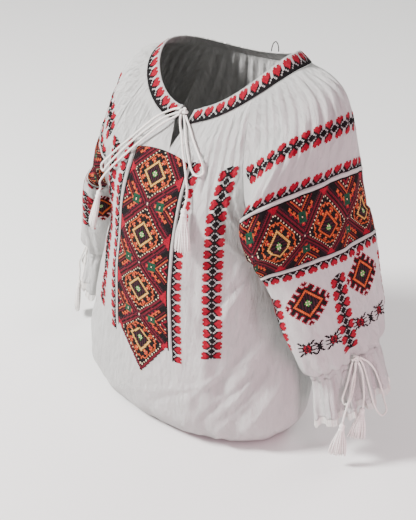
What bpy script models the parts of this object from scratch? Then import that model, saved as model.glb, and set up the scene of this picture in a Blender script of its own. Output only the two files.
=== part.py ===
# A folk blouse as cut and sewn: gathered front, back and raglan sleeves on a round
# neckband, sleeves drawn in at the wrist over a lace-edged frill, and tied cords with
# tassels at the neck and both cuffs. Metres, +Z up; the front faces -Y and the wearer's
# left is +X. The origin is the centre of the neck opening at shoulder level.
import math

import bmesh
import bpy
import numpy as np
from mathutils import Vector

for old in list(bpy.data.objects):
    bpy.data.objects.remove(old, do_unlink=True)

# Driving dimensions
CLOTH = 0.0015            # wall of every cloth panel
BAND_WALL = 0.0022        # doubled cloth of the neckband
SEAM = 0.0003             # clearance where two pieces are sewn together
NECK_A, NECK_B = 0.122, 0.097      # half width and half depth of the neck ring
NECK_Y = 0.014
NECK_FRONT_Z, NECK_BACK_Z = -0.066, -0.032
TILT, SHIFT = 0.16, 0.009          # the neckline sits higher on the wearer's left
PHI_FRONT, PHI_BACK = math.radians(50), math.radians(135)   # raglan seams on the ring
BAND_H, BAND_LEAN = 0.0170, 0.0165
BAND_LIFT = 0.0010                 # the band's edge stands this far above the gathers
SLIT_HALF = 0.011                  # half width of the keyhole under the band
PANEL_HALF = 0.0525                # half width of the flat embroidered front
WRAP = (0.038, 0.003)              # fold of each sleeve's front edge over the chest
WRAP_WAY = (-0.35, -0.90, 0.0)
SLEEVE_RISE = 0.0085               # how far it stands off the body beside the underarm
CASING_H = 0.010
LACE_H = 0.011
CORD_R = 0.0016
FRONT_COLS, BACK_COLS, SLEEVE_COLS = 32, 26, 36

# The raglan seams and side seam of the wearer's left: row, x, y, z
SEAM_FRONT = (
    (0.00, None, None, None),
    (0.25, 0.1100, -0.0800, -0.072),
    (0.50, 0.1210, -0.0930, -0.122),
    (0.75, 0.1290, -0.0790, -0.180),
    (1.00, 0.1500, -0.0020, -0.235),
)
SEAM_BACK = (
    (0.00, None, None, None),
    (0.25, 0.110, 0.088, -0.060),
    (0.50, 0.134, 0.086, -0.118),
    (0.75, 0.144, 0.060, -0.180),
    (1.00, 0.150, -0.002, -0.235),
)
SIDE = (
    (1.00, 0.150, -0.002, -0.235),
    (1.20, 0.154, -0.003, -0.291),
    (1.40, 0.166, -0.005, -0.356),
    (1.60, 0.181, -0.007, -0.421),
    (1.80, 0.195, -0.009, -0.480),
    (1.92, 0.192, -0.010, -0.526),
    (2.00, 0.172, -0.010, -0.554),
)
# Centre lines: row, y, z
MID_FRONT = (
    (0.00, None, None),
    (0.21, -0.104, -0.098),
    (0.48, -0.124, -0.146),
    (0.75, -0.138, -0.197),
    (1.00, -0.147, -0.250),
    (1.20, -0.150, -0.302),
    (1.40, -0.150, -0.362),
    (1.60, -0.149, -0.425),
    (1.80, -0.152, -0.482),
    (1.92, -0.147, -0.521),
    (2.00, -0.127, -0.549),
)
MID_BACK = (
    (0.00, None, None),
    (0.25, 0.122, -0.075),
    (0.50, 0.134, -0.125),
    (0.75, 0.137, -0.180),
    (1.00, 0.134, -0.235),
    (1.20, 0.126, -0.293),
    (1.40, 0.122, -0.357),
    (1.60, 0.128, -0.422),
    (1.80, 0.134, -0.484),
    (1.92, 0.127, -0.523),
    (2.00, 0.104, -0.549),
)
# Top of each sleeve from the neck to the armhole ring: row, x, y, z
TOP_LEFT = (
    (0.00, None, None, None),
    (0.25, 0.180, 0.006, -0.018),
    (0.50, 0.207, -0.009, -0.062),
    (0.75, 0.218, -0.020, -0.122),
    (1.00, 0.227, -0.028, -0.185),
)
TOP_RIGHT = (
    (0.00, None, None, None),
    (0.25, 0.160, 0.014, -0.010),
    (0.50, 0.182, 0.014, -0.045),
    (0.75, 0.187, 0.014, -0.104),
    (1.00, 0.191, 0.014, -0.168),
)
# Sleeve rings below the armhole: row, centre x y z, outward half axis, front-back half axis
TUBE_LEFT = (
    (1.00, 0.1970, -0.015, -0.210, 0.0300, -0.013, 0.0250, 0.018, 0.090, 0.006),
    (1.28, 0.2050, -0.009, -0.249, 0.0320, -0.018, 0.0165, 0.024, 0.083, 0.012),
    (1.50, 0.2210, -0.003, -0.305, 0.0350, -0.020, 0.0150, 0.025, 0.079, 0.013),
    (1.70, 0.2340, 0.006, -0.350, 0.0350, -0.020, 0.0140, 0.024, 0.072, 0.014),
    (1.88, 0.2420, 0.014, -0.381, 0.0320, -0.018, 0.0110, 0.022, 0.062, 0.017),
    (2.00, 0.2440, 0.020, -0.394, 0.0210, -0.012, 0.0070, 0.020, 0.050, 0.018),
)
TUBE_RIGHT = (
    (1.00, 0.1785, 0.006, -0.2015, 0.0125, 0.008, 0.0335, 0.000, 0.080, 0.000),
    (1.28, 0.1980, 0.012, -0.246, 0.0290, -0.002, 0.0180, 0.010, 0.085, 0.000),
    (1.50, 0.2110, 0.020, -0.306, 0.0330, -0.004, 0.0140, 0.014, 0.080, 0.006),
    (1.70, 0.2250, 0.030, -0.350, 0.0330, -0.004, 0.0120, 0.014, 0.073, 0.010),
    (1.88, 0.2360, 0.036, -0.386, 0.0300, -0.004, 0.0110, 0.012, 0.062, 0.012),
    (2.00, 0.2420, 0.040, -0.401, 0.0210, -0.002, 0.0080, 0.010, 0.050, 0.012),
)
TORSO_ROWS = (0.0, 0.05, 0.12, 0.21, 0.34, 0.48, 0.64, 0.82, 1.0,
              1.12, 1.25, 1.38, 1.52, 1.66, 1.78, 1.88, 1.95, 2.0)
SLEEVE_ROWS = (0.0, 0.05, 0.12, 0.21, 0.34, 0.48, 0.64, 0.82, 1.0,
               1.14, 1.32, 1.52, 1.70, 1.84, 1.94, 2.0)
SLIT_ROW = 3              # the keyhole ends at this row
CAP_ROWS = 8              # sleeve rows up to the armhole ring
# Largest folds of the front: row and side position at both ends, half width, height
FRONT_FOLDS = (
    (1.10, 0.95, 1.62, 0.50, 0.085, -0.0070),
    (1.30, 0.98, 1.85, 0.60, 0.080, -0.0075),
    (1.15, 0.62, 1.55, 0.42, 0.060, 0.0040),
    (1.20, -0.90, 1.75, -0.62, 0.090, -0.0040),
)


def curve(rows, at, start=None):
    """Smooth value of a table at a row position, by cubic pieces through its points."""
    data = [tuple(r) for r in rows]
    if start is not None:
        data[0] = (data[0][0],) + tuple(start)
    data = np.array(data, float)
    t, p = data[:, 0], data[:, 1:]
    h = np.diff(t)
    d = np.diff(p, axis=0) / h[:, None]
    m = np.empty_like(p)
    m[0], m[-1] = d[0], d[-1]
    m[1:-1] = (d[:-1] * h[1:, None] + d[1:] * h[:-1, None]) / (h[:-1] + h[1:])[:, None]
    m[0] += (d[0] - m[1]) * 0.5
    m[-1] += (d[-1] - m[-2]) * 0.5
    at = min(max(at, t[0]), t[-1])
    i = int(min(max(np.searchsorted(t, at) - 1, 0), len(h) - 1))
    s = (at - t[i]) / h[i]
    a, b = p[i], p[i + 1]
    ma, mb = m[i] * h[i], m[i + 1] * h[i]
    return ((2 * s**3 - 3 * s**2 + 1) * a + (s**3 - 2 * s**2 + s) * ma
            + (3 * s**2 - 2 * s**3) * b + (s**3 - s**2) * mb)


def smooth(x):
    x = min(max(x, 0.0), 1.0)
    return x * x * (3 - 2 * x)


def smooth_all(x):
    x = np.clip(x, 0.0, 1.0)
    return x * x * (3 - 2 * x)


def settle(p, side=1):
    """Slide the yoke up over the wearer's left shoulder; side is -1 on a mirrored grid."""
    q = np.array(p, float)
    x = np.clip((q[..., 2] + 0.40) / 0.35, 0, 1)
    g = x * x * (3 - 2 * x)
    q[..., 2] += TILT * side * q[..., 0] * g
    q[..., 0] += SHIFT * side * g
    return q


def neck(phi):
    """A point of the neck ring; phi is 0 at the front and 180 degrees at the back."""
    c = math.cos(phi)
    z = NECK_FRONT_Z * c * c if c > 0 else NECK_BACK_Z * c * c
    return np.array((NECK_A * math.sin(phi), NECK_Y - NECK_B * c, z))


def torso_row(v, back, fine=160):
    """One row of the front or back as a dense line from the right seam to the left."""
    seams, mids = (SEAM_BACK, MID_BACK) if back else (SEAM_FRONT, MID_FRONT)
    phi_n = math.pi - PHI_BACK if back else PHI_FRONT
    ring = neck(PHI_BACK if back else PHI_FRONT)
    centre = neck(math.pi if back else 0.0)
    e = curve(seams, v, ring) if v <= 1.0 else curve(SIDE, v)
    m = curve(mids, v, centre[1:])
    big = phi_n + (math.pi / 2 - phi_n) * smooth(v) ** 1.8
    a = np.linspace(-1, 1, 2 * fine + 1) * big
    c, ce = np.cos(a), math.cos(big)
    return np.stack([e[0] * np.sin(a) / math.sin(big),
                     e[1] + (m[0] - e[1]) * (c - ce) / (1 - ce),
                     e[2] + (m[1] - e[2]) * (c * c - ce * ce) / (1 - ce * ce)], 1)


def along(line, where):
    """Points of a dense line at the given distances from its start."""
    d = np.concatenate([[0], np.cumsum(np.linalg.norm(np.diff(line, axis=0), axis=1))])
    return np.stack([np.interp(where, d, line[:, k]) for k in range(3)], 1), d[-1]


def line_length(line):
    return float(np.linalg.norm(np.diff(line, axis=0), axis=1).sum())


def front_stations(total):
    """Column distances over a front row: a flat middle of fixed width, then gathers."""
    n = FRONT_COLS // 2
    inner = [PANEL_HALF * k / 5 for k in range(6)]
    outer = [PANEL_HALF + (total / 2 - PANEL_HALF) * k / (n - 5) for k in range(1, n - 4)]
    half = inner + outer
    return np.array([total / 2 - h for h in reversed(half[1:])] + [total / 2]
                    + [total / 2 + h for h in half[1:]])


def stand_off(line, v):
    """Lift both edges of a sleeve row clear of the body on the way to the underarm."""
    rise = SLEEVE_RISE * smooth((v - 0.30) / 0.35) * (1 - smooth((v - 1.08) / 0.42))
    turn = math.radians(60) * (1 - smooth((v - 0.25) / 0.7))
    for part, sy in ((line, -1), (line[::-1], 1)):
        t = np.concatenate([[0], np.cumsum(np.linalg.norm(np.diff(part, axis=0), axis=1))])
        t = np.minimum(t, 0.11)
        shape = (1 - np.exp(-t / 0.012)) * (1 - smooth_all(t / 0.11))
        part += np.outer(rise * shape, (math.cos(turn), sy * math.sin(turn), 0))
    return line


def sleeve_row(v, top, tube, fold, fine=160):
    """One row of the wearer's left sleeve, from the front seam over the top to the back."""
    u = np.linspace(-1, 1, 2 * fine + 1)
    if v >= 1.0:
        r = curve(tube, v)
        c, o, w = r[:3], r[3:6], r[6:9]
        a = u * math.pi
        flat = 0.10 * smooth((v - 1.0) / 0.3) * (1 - smooth((v - 1.8) / 0.2))
        cs = np.cos(a) * (1 + flat * (1 - np.abs(np.cos(a))))
        wrap = 0.55 * (1 - smooth((v - 1.00) / 0.42)) * fold
        pit = np.array(SIDE[0][1:]) - (c - o)
        pit = pit * (1 - smooth((v - 1.0) / 0.30))
        lean = np.clip(1 + np.cos(a), 0, 1)
        lean = lean + (1 - lean) * smooth((v - 1.0) / 0.4)
        across = np.outer(np.sin(a), w)
        across[:, 0] *= lean
        line = (c + np.outer(cs, o) + across
                + np.outer(np.clip(-np.cos(a), 0, 1) ** 2, pit)
                + np.outer(np.clip(-np.sin(a), 0, 1) ** 2, np.array(WRAP_WAY) * wrap))
        return stand_off(line, v)
    sf = curve(SEAM_FRONT, v, neck(PHI_FRONT))
    sb = curve(SEAM_BACK, v, neck(PHI_BACK))
    mid = (PHI_FRONT + PHI_BACK) / 2
    o_top = curve(top, v, neck(mid))
    half = (PHI_BACK - PHI_FRONT) / 2
    psi = half + (math.pi - half) * smooth(0.15 + 0.85 * v) ** 1.5 * v
    psi = min(psi, math.pi)
    m = (sf + sb) / 2
    o = (o_top - m) / (1 - math.cos(psi))
    w = np.array(tube[0][7:10])
    a = u * psi
    wide = np.where(u < 0, 0.78 + 0.22 * v, 0.62 + 0.38 * v * v)
    across = np.outer(np.sin(a) * wide, w)
    across[:, 0] *= 1 - v + v * np.clip(1 + np.cos(a), 0, 1)
    line = o_top - o + np.outer(np.cos(a), o) + across
    ring = np.array([neck(mid + half * k) for k in u])
    ring = ring + np.outer((1 - u) / 2, sf - ring[0]) + np.outer((1 + u) / 2, sb - ring[-1])
    ring = ring + np.outer(1 - u * u, o_top - ring[len(u) // 2])
    line = line + np.outer((1 - u) / 2, sf - line[0]) + np.outer((1 + u) / 2, sb - line[-1])
    k = smooth(v / 0.6)
    wrap = smooth((v - 0.22) / 0.45) * (1 - 0.45 * smooth((v - 0.75) / 0.25)) * fold
    bulge = np.where(u < 0, np.sin(u * math.pi) ** 2, 0)
    line = ring * (1 - k) + line * k + np.outer(bulge, np.array(WRAP_WAY) * wrap)
    return stand_off(line, v)


def grid_points(lines, stations):
    return np.array([along(l, s)[0] for l, s in zip(lines, stations)])


def grid_normals(p, closed_from=None):
    """Unit normals of a grid of points by differences along both directions."""
    du = np.gradient(p, axis=1)
    if closed_from is not None:
        for i in range(closed_from, len(p)):
            du[i, 0] = du[i, -1] = p[i, 1] - p[i, -2]
    dv = np.gradient(p, axis=0)
    n = np.cross(dv, du)
    return n / np.linalg.norm(n, axis=2, keepdims=True)


def wave(j, shift=0):
    """Uneven ridge and valley heights, column by column."""
    sign = 1.0 if (j + shift) % 2 else -1.0
    return sign * (0.82 + 0.18 * math.sin(j * 2.3 + shift) + 0.12 * math.sin(j * 5.1))


def gather_depth(v):
    """Depth of the gathers below the neckband, fading out over the chest."""
    return 0.0021 * smooth(v / 0.10) * (1 - smooth((v - 0.25) / 0.75))


def material(name, colour, rough):
    mat = bpy.data.materials.new(name)
    mat.use_nodes = True
    shader = mat.node_tree.nodes["Principled BSDF"]
    shader.inputs["Base Color"].default_value = (*colour, 1.0)
    shader.inputs["Roughness"].default_value = rough
    return mat


COLOURS = {
    "cotton": ((0.80, 0.78, 0.76), 0.85),
    "band": ((0.52, 0.03, 0.06), 0.8),
    "lace": ((0.86, 0.83, 0.80), 0.9),
    "cord": ((0.82, 0.79, 0.74), 0.8),
    "tassel": ((0.78, 0.74, 0.70), 0.9),
    "black": ((0.02, 0.018, 0.02), 0.7),
}


def add_object(name, bm, kind):
    bmesh.ops.recalc_face_normals(bm, faces=bm.faces)
    if bm.calc_volume(signed=True) < 0:
        bmesh.ops.reverse_faces(bm, faces=bm.faces)
    mesh = bpy.data.meshes.new(name)
    bm.to_mesh(mesh)
    bm.free()
    colour, rough = COLOURS[kind]
    mesh.materials.append(material(name, colour, rough))
    obj = bpy.data.objects.new(name, mesh)
    bpy.context.scene.collection.objects.link(obj)
    return obj


def wall(name, kind, outer, normal, quads, thickness):
    """A closed wall: outer skin, inner skin behind it, and the edges between them."""
    used, bm = {}, bmesh.new()
    for q in quads:
        for k in q:
            if k not in used:
                used[k] = (bm.verts.new(outer[k]),
                           bm.verts.new(np.array(outer[k]) - np.array(normal[k]) * thickness))
    edges = {}
    for q in quads:
        q = [k for i, k in enumerate(q) if k != q[i - 1]]
        if len(q) < 3:
            continue
        # both skins are split along the same diagonal, so a twisted cell can't cross itself
        for t in ((q,) if len(q) == 3 else (q[:3], [q[0], q[2], q[3]])):
            bm.faces.new([used[k][0] for k in t])
            bm.faces.new([used[k][1] for k in reversed(t)])
        for i, k in enumerate(q):
            edges[(k, q[(i + 1) % len(q)])] = True
    for a, b in edges:
        if (b, a) not in edges:
            bm.faces.new([used[a][0], used[a][1], used[b][1], used[b][0]])
    return add_object(name, bm, kind)


def torso_panel(back):
    rows = TORSO_ROWS
    cols = BACK_COLS if back else FRONT_COLS
    lines = [torso_row(v, back) for v in rows]
    sts = []
    for l in lines:
        total = line_length(l)
        sts.append(np.linspace(0, total, cols + 1) if back else front_stations(total))
    p = settle(grid_points(lines, sts))
    if back:
        p = p[:, ::-1]
    return p, grid_normals(p)


def relief_torso(p, n, back):
    """Gathers under the neckband and the large soft folds."""
    q = p.copy()
    cols = p.shape[1] - 1
    for i, v in enumerate(TORSO_ROWS):
        d = gather_depth(v)
        for j in range(1, cols):
            f = 1.0
            if not back:
                f = smooth((abs(j - cols / 2) - 4.5) / 1.5)
            x = 2.0 * j / cols - 1
            calm = smooth((v - 0.2) / 0.3)
            f *= 1 - calm + calm * smooth((1 - abs(x)) / 0.2)
            h = d * f * wave(j, 3 if back else 0)
            if not back:
                for v0, x0, v1, x1, half, height in FRONT_FOLDS:
                    s = min(max((v - v0) / (v1 - v0), 0.0), 1.0)
                    dx = x - (x0 + (x1 - x0) * s)
                    dv = max(v0 - v, v - v1, 0.0) / 0.22
                    h += height * math.exp(-(dx / half) ** 2 * 2 - dv * dv * 2) * \
                        smooth((1 - abs(x)) / 0.12)
            else:
                h += 0.003 * math.sin(3.1 * math.pi * x) * smooth((v - 0.9) / 0.5) \
                    * smooth((1 - abs(x)) / 0.15)
            q[i, j] += n[i, j] * h
    return q


def soften_first_row(p):
    """The sewn edge runs straight between every second column, like the band on it."""
    p[0, 1:-1:2] = (p[0, 0:-2:2] + p[0, 2::2]) / 2
    return p


front_p, front_n = torso_panel(False)
back_p, back_n = torso_panel(True)
front_p = soften_first_row(relief_torso(front_p, front_n, False))
back_p = soften_first_row(relief_torso(back_p, back_n, True))


def sleeve_grid(top, tube, mirror):
    fold = WRAP[1 if mirror else 0]
    lines = [sleeve_row(v, top, tube, fold) for v in SLEEVE_ROWS]
    p = grid_points(lines, [np.linspace(0, line_length(l), SLEEVE_COLS + 1) for l in lines])
    p = settle(p, -1 if mirror else 1)
    n = grid_normals(p, CAP_ROWS)
    if np.sum(n[4, SLEEVE_COLS // 2] * np.array((0.5, 0, 1.0))) < 0:
        n = -n
    q = p.copy()
    for i, v in enumerate(SLEEVE_ROWS):
        neck_d = gather_depth(v) * 0.9
        wrist_d = 0.0022 * smooth((v - 1.62) / 0.3)
        for j in range(SLEEVE_COLS + 1):
            u = 2.0 * j / SLEEVE_COLS - 1
            calm = smooth((v - 0.2) / 0.3)
            edge = smooth((1 - abs(u)) / (0.12 + 0.25 * calm))
            h = neck_d * wave(j, 1) * (edge if v < 1.0 else 1.0)
            h += wrist_d * wave(j % SLEEVE_COLS, 4)
            soft = smooth((v - 0.9) / 0.3) * (1 - smooth((v - 1.8) / 0.2))
            h += soft * 0.0045 * math.sin(3 * math.pi * u + 2.2 * v) * (1 - u * u)
            q[i, j] += n[i, j] * h
        if i > CAP_ROWS:
            q[i, -1] = q[i, 0]
    q = soften_first_row(q)
    if mirror:
        q, n = q * (-1, 1, 1), n * (-1, 1, 1)
    return q, n


left_p, left_n = sleeve_grid(TOP_LEFT, TUBE_LEFT, False)
right_p, right_n = sleeve_grid(TOP_RIGHT, TUBE_RIGHT, True)


def unit(v):
    return v / np.linalg.norm(v)


def share(*items):
    """Give the vertices that meet at a seam the mean of their normals, unless they fold."""
    if float(np.dot(items[0][0][items[0][1]], items[-1][0][items[-1][1]])) < 0.55:
        return
    total = unit(sum(n[k] for n, k in items))
    for n, k in items:
        n[k] = total


for side, (sn, fcol, bcol) in {"left": (left_n, -1, 0), "right": (right_n, 0, -1)}.items():
    for i in range(CAP_ROWS):
        share((front_n, (i, fcol)), (sn, (i, 0)))
        share((back_n, (i, bcol)), (sn, (i, -1)))
    for i in range(CAP_ROWS, len(TORSO_ROWS)):
        share((front_n, (i, fcol)), (back_n, (i, bcol)))
    for i in range(CAP_ROWS, len(SLEEVE_ROWS)):
        sn[i, -1] = sn[i, 0]


def pull_edges(p, first, last, rows):
    """Draw the edge columns back by half the seam clearance."""
    for i in rows:
        if first:
            p[i, 0] += unit(p[i, 1] - p[i, 0]) * SEAM * 1.0
        if last:
            p[i, -1] += unit(p[i, -2] - p[i, -1]) * SEAM * 1.0


for p in (front_p, back_p):
    pull_edges(p, True, True, range(len(p)))
for p, sx in ((left_p, 1), (right_p, -1)):
    pull_edges(p, True, True, range(CAP_ROWS))
    p[CAP_ROWS, 0] += (sx * SEAM * 1.6, 0, -SEAM * 0.2)
    p[CAP_ROWS, -1] = p[CAP_ROWS, 0]


def open_grid(p, n):
    rows, cols = p.shape[:2]
    outer, norm, quads = {}, {}, []
    for i in range(rows):
        for j in range(cols):
            outer[(i, j)], norm[(i, j)] = p[i, j], n[i, j]
    for i in range(rows - 1):
        for j in range(cols - 1):
            quads.append(((i, j), (i + 1, j), (i + 1, j + 1), (i, j + 1)))
    return outer, norm, quads


# The front, opened by the keyhole under the band
outer, norm, quads = open_grid(front_p, front_n)
mid = FRONT_COLS // 2
for i in range(SLIT_ROW):
    w = SLIT_HALF * (1 - i / SLIT_ROW) ** 0.8
    for tag, sx in (("a", -1), ("b", 1)):
        outer[(i, tag)] = outer[(i, mid)] + np.array((sx * w, 0, 0))
        norm[(i, tag)] = norm[(i, mid)]
    for k, j in enumerate((mid - 1, mid - 2)):
        shift = w * (0.62, 0.22)[k]
        outer[(i, j)] = outer[(i, j)] + np.array((-shift, 0, 0))
        outer[(i, 2 * mid - j)] = outer[(i, 2 * mid - j)] + np.array((shift, 0, 0))
opened = []
for q in quads:
    q = list(q)
    if q[0][0] < SLIT_ROW:
        left_of = q[2][1] == mid
        right_of = q[0][1] == mid
        if left_of or right_of:
            q = [(a, ("a" if left_of else "b")) if b == mid and a < SLIT_ROW else (a, b)
                 for a, b in q]
    opened.append(tuple(q))
wall("front_panel", "cotton", outer, norm, opened, CLOTH)
wall("back_panel", "cotton", *open_grid(back_p, back_n), CLOTH)


def sleeve(name, p, n):
    outer, norm, quads = open_grid(p, n)
    last = SLEEVE_COLS
    closed = [tuple((i, 0) if (i >= CAP_ROWS and j == last) else (i, j) for i, j in q)
              for q in quads]
    wall(name, "cotton", outer, norm, closed, CLOTH)


sleeve("sleeve_left", left_p, left_n)
sleeve("sleeve_right", right_p, right_n)

# The neckband stands on every second column of the gathered edge, open at the front
ring = [front_p[0, j] for j in range(mid, FRONT_COLS + 1, 2)]
ring += [left_p[0, j] for j in range(2, SLEEVE_COLS + 1, 2)]
ring += [back_p[0, j] for j in range(2, BACK_COLS + 1, 2)]
ring += [right_p[0, j] for j in range(SLEEVE_COLS - 2, -1, -2)]
ring += [front_p[0, j] for j in range(2, mid + 1, 2)]
ring[0] = ring[0] + np.array((SLIT_HALF, 0, 0))
ring[-1] = ring[-1] - np.array((SLIT_HALF, 0, 0))
for k, s in ((1, 1), (-2, -1)):
    ring[k] = ring[k] + np.array((s * SLIT_HALF * 0.22, 0, 0))
outer, norm, quads = {}, {}, []
for j, r in enumerate(ring):
    out = unit(np.array(((r[0] - SHIFT) / NECK_A ** 2, (r[1] - NECK_Y) / NECK_B ** 2, 0)))
    for i, (h, lean) in enumerate(((BAND_LIFT, 0.0), (BAND_H, 1.0))):
        outer[(i, j)] = r - out * BAND_LEAN * lean + np.array((0, 0, h))
        norm[(i, j)] = unit(out * BAND_H + np.array((0, 0, BAND_LEAN))) if i else out
for j in range(len(ring) - 1):
    quads.append(((0, j), (0, j + 1), (1, j + 1), (1, j)))
wall("neckband", "band", outer, norm, quads, BAND_WALL)


def closed_wall(name, kind, p, n, thickness):
    rows, cols = p.shape[:2]
    outer = {(i, j): p[i, j] for i in range(rows) for j in range(cols)}
    norm = {(i, j): n[i, j] for i in range(rows) for j in range(cols)}
    quads = [((i, j), (i + 1, j), (i + 1, (j + 1) % cols), (i, (j + 1) % cols))
             for i in range(rows - 1) for j in range(cols)]
    wall(name, kind, outer, norm, quads, thickness)


# Drop of each frill: row, drop, flare of the ring, depth of its waves
FRILL = (
    (0.00, 0.000, 1.00, 0.0010),
    (0.20, 0.014, 1.02, 0.0028),
    (0.45, 0.030, 1.05, 0.0048),
    (0.72, 0.048, 1.08, 0.0066),
    (1.00, 0.066, 1.11, 0.0080),
)


def cuff(side, p, n, hang):
    """Casing, frill and lace under one sleeve, hanging along the given direction."""
    sx = 1 if side == "left" else -1
    end = p[-1, :-1]
    nrm = n[-1, :-1]
    cols = len(end)
    axis = unit(p[-1, :-1].mean(axis=0) - p[-4, :-1].mean(axis=0))
    flatn = np.array([unit(v - axis * np.dot(v, axis)) for v in nrm])
    q = np.array([end + axis * SEAM, end + axis * CASING_H])
    closed_wall("cuff_casing_" + side, "cotton", q, np.array([flatn] * 2), CLOTH)
    base = end + axis * (CASING_H + SEAM)
    centre = base.mean(axis=0)
    rows_p, rows_n = [], []
    for t in (0.0, 0.3, 0.65, 1.0, 1.145):
        drop, flare, depth = curve(FRILL, min(t, 1.0))
        extra = 0.0
        if t > 1.0:
            extra, flare, depth = LACE_H, flare * 1.03, depth * 1.06
        go = unit(axis * (1 - smooth(t * 1.4)) + hang * smooth(t * 1.4))
        mid_p = centre + go * (drop + extra)
        rel = base - centre
        a = np.arange(cols) * (2 * math.pi / cols)
        lobe = np.cos(a * 9 + 0.5 * np.sin(a * 2 + sx)) * depth
        lobe = lobe * (0.85 + 0.3 * np.sin(a * 2 + 1.3))
        pts = mid_p + rel * flare + flatn * lobe[:, None]
        rows_p.append(pts)
    q = np.array(rows_p)
    du = np.roll(q, -1, axis=1) - np.roll(q, 1, axis=1)
    nn = np.cross(du, np.gradient(q, axis=0))
    nn = nn / np.linalg.norm(nn, axis=2, keepdims=True)
    if np.sum(nn[1] * flatn) < 0:
        nn = -nn
    nn[0] = flatn
    down = unit(q[4].mean(axis=0) - q[2].mean(axis=0))
    closed_wall("frill_" + side, "cotton", q[:4], nn[:4], CLOTH)
    lace = q[3:].copy()
    lace_n = nn[[3, 3]].copy()
    lace[0] += down * SEAM
    lace[1, 1::2] -= down * 0.0014
    closed_wall("lace_" + side, "lace", lace, lace_n, CLOTH * 0.8)
    return q, nn, flatn, axis


HANG_LEFT = unit(np.array((0.24, 0.12, -1.0)))
HANG_RIGHT = unit(np.array((-0.16, 0.02, -1.0)))
left_cuff = cuff("left", left_p, left_n, HANG_LEFT)
right_cuff = cuff("right", right_p, right_n, HANG_RIGHT)


# Ties. Each path runs from its knot; every point is x, y, z
NECK_KNOT = (0.0086, -0.0763, -0.0521)
NECK_LOOP_RIGHT = (
    (0.0140, -0.0790, -0.0560), (0.0309, -0.0888, -0.0652), (0.0435, -0.0968, -0.0743),
    (0.0566, -0.1033, -0.0837), (0.0693, -0.1098, -0.0917), (0.0745, -0.1106, -0.1005),
    (0.0760, -0.1126, -0.1084), (0.0713, -0.1172, -0.1122), (0.0615, -0.1161, -0.1109),
    (0.0523, -0.1126, -0.1022), (0.0412, -0.1055, -0.0891), (0.0300, -0.0965, -0.0755),
    (0.0180, -0.0850, -0.0620), (0.0110, -0.0795, -0.0545),
)
NECK_END_RIGHT = (
    (0.0075, -0.0800, -0.0540), (0.0125, -0.0880, -0.0640), (0.0250, -0.0985, -0.0765),
    (0.0350, -0.1075, -0.0900),
    (0.0455, -0.1150, -0.1054), (0.0545, -0.1212, -0.1224), (0.0609, -0.1261, -0.1384),
    (0.0635, -0.1320, -0.1525),
)
NECK_LOOP_LEFT = (
    (0.0050, -0.0760, -0.0500), (-0.0060, -0.0765, -0.0530), (-0.0182, -0.0804, -0.0602),
    (-0.0301, -0.0895, -0.0693), (-0.0415, -0.0966, -0.0820), (-0.0544, -0.1022, -0.0974),
    (-0.0679, -0.1080, -0.1133), (-0.0820, -0.1116, -0.1289), (-0.0956, -0.1141, -0.1450),
    (-0.1126, -0.1096, -0.1628), (-0.1185, -0.1065, -0.1720), (-0.1128, -0.1085, -0.1760),
    (-0.0986, -0.1146, -0.1598), (-0.0806, -0.1169, -0.1388), (-0.0668, -0.1136, -0.1213),
    (-0.0538, -0.1068, -0.1050), (-0.0388, -0.1001, -0.0880), (-0.0264, -0.0931, -0.0752),
    (-0.0140, -0.0866, -0.0639), (0.0000, -0.0795, -0.0565), (0.0050, -0.0780, -0.0530),
)
NECK_END_LEFT = (
    (0.0060, -0.0810, -0.0545), (0.0015, -0.0835, -0.0590), (-0.0118, -0.0939, -0.0698),
    (-0.0245, -0.1009, -0.0836), (-0.0383, -0.1069, -0.0994), (-0.0531, -0.1127, -0.1171),
    (-0.0708, -0.1169, -0.1382), (-0.0883, -0.1189, -0.1586), (-0.1048, -0.1169, -0.1796),
    (-0.1083, -0.1199, -0.1886), (-0.1080, -0.1185, -0.1985),
)
# The cuff ties are given for the wearer's left wrist and mirrored about the other wrist
CUFF_KNOT = (0.2765, -0.0022, -0.3706)
CUFF_LOOP_A = (
    (0.2730, 0.0006, -0.3740), (0.2702, 0.0011, -0.3830), (0.2680, 0.0010, -0.4010),
    (0.2685, -0.0030, -0.4161), (0.2680, -0.0075, -0.4318), (0.2675, -0.0091, -0.4436),
    (0.2713, -0.0083, -0.4520), (0.2772, -0.0061, -0.4458), (0.2760, 0.0015, -0.4340),
    (0.2725, 0.0095, -0.4200), (0.2690, 0.0130, -0.4060), (0.2698, 0.0098, -0.3900),
    (0.2735, 0.0055, -0.3790),
)
CUFF_LOOP_B = (
    (0.2770, 0.0066, -0.3730), (0.2790, 0.0176, -0.3820), (0.2790, 0.0302, -0.3936),
    (0.2827, 0.0427, -0.4107), (0.2887, 0.0477, -0.4282), (0.2957, 0.0504, -0.4472),
    (0.3043, 0.0470, -0.4610), (0.3117, 0.0430, -0.4700), (0.3100, 0.0361, -0.4770),
    (0.3030, 0.0315, -0.4700), (0.2972, 0.0254, -0.4512), (0.2910, 0.0237, -0.4323),
    (0.2833, 0.0241, -0.4149), (0.2774, 0.0222, -0.3989), (0.2760, 0.0150, -0.3850),
    (0.2765, 0.0066, -0.3770),
)
CUFF_END_A = (
    (0.2765, -0.0005, -0.3775), (0.2752, 0.0036, -0.3930), (0.2735, 0.0025, -0.4130),
    (0.2765, -0.0040, -0.4299),
    (0.2785, -0.0116, -0.4461), (0.2765, -0.0136, -0.4640), (0.2760, -0.0156, -0.4770),
)
CUFF_END_B = (
    (0.2795, 0.0015, -0.3775), (0.2805, 0.0095, -0.3930), (0.2810, 0.0148, -0.4061),
    (0.2853, 0.0140, -0.4234),
    (0.2889, 0.0130, -0.4414), (0.2890, 0.0130, -0.4566),
)
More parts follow.
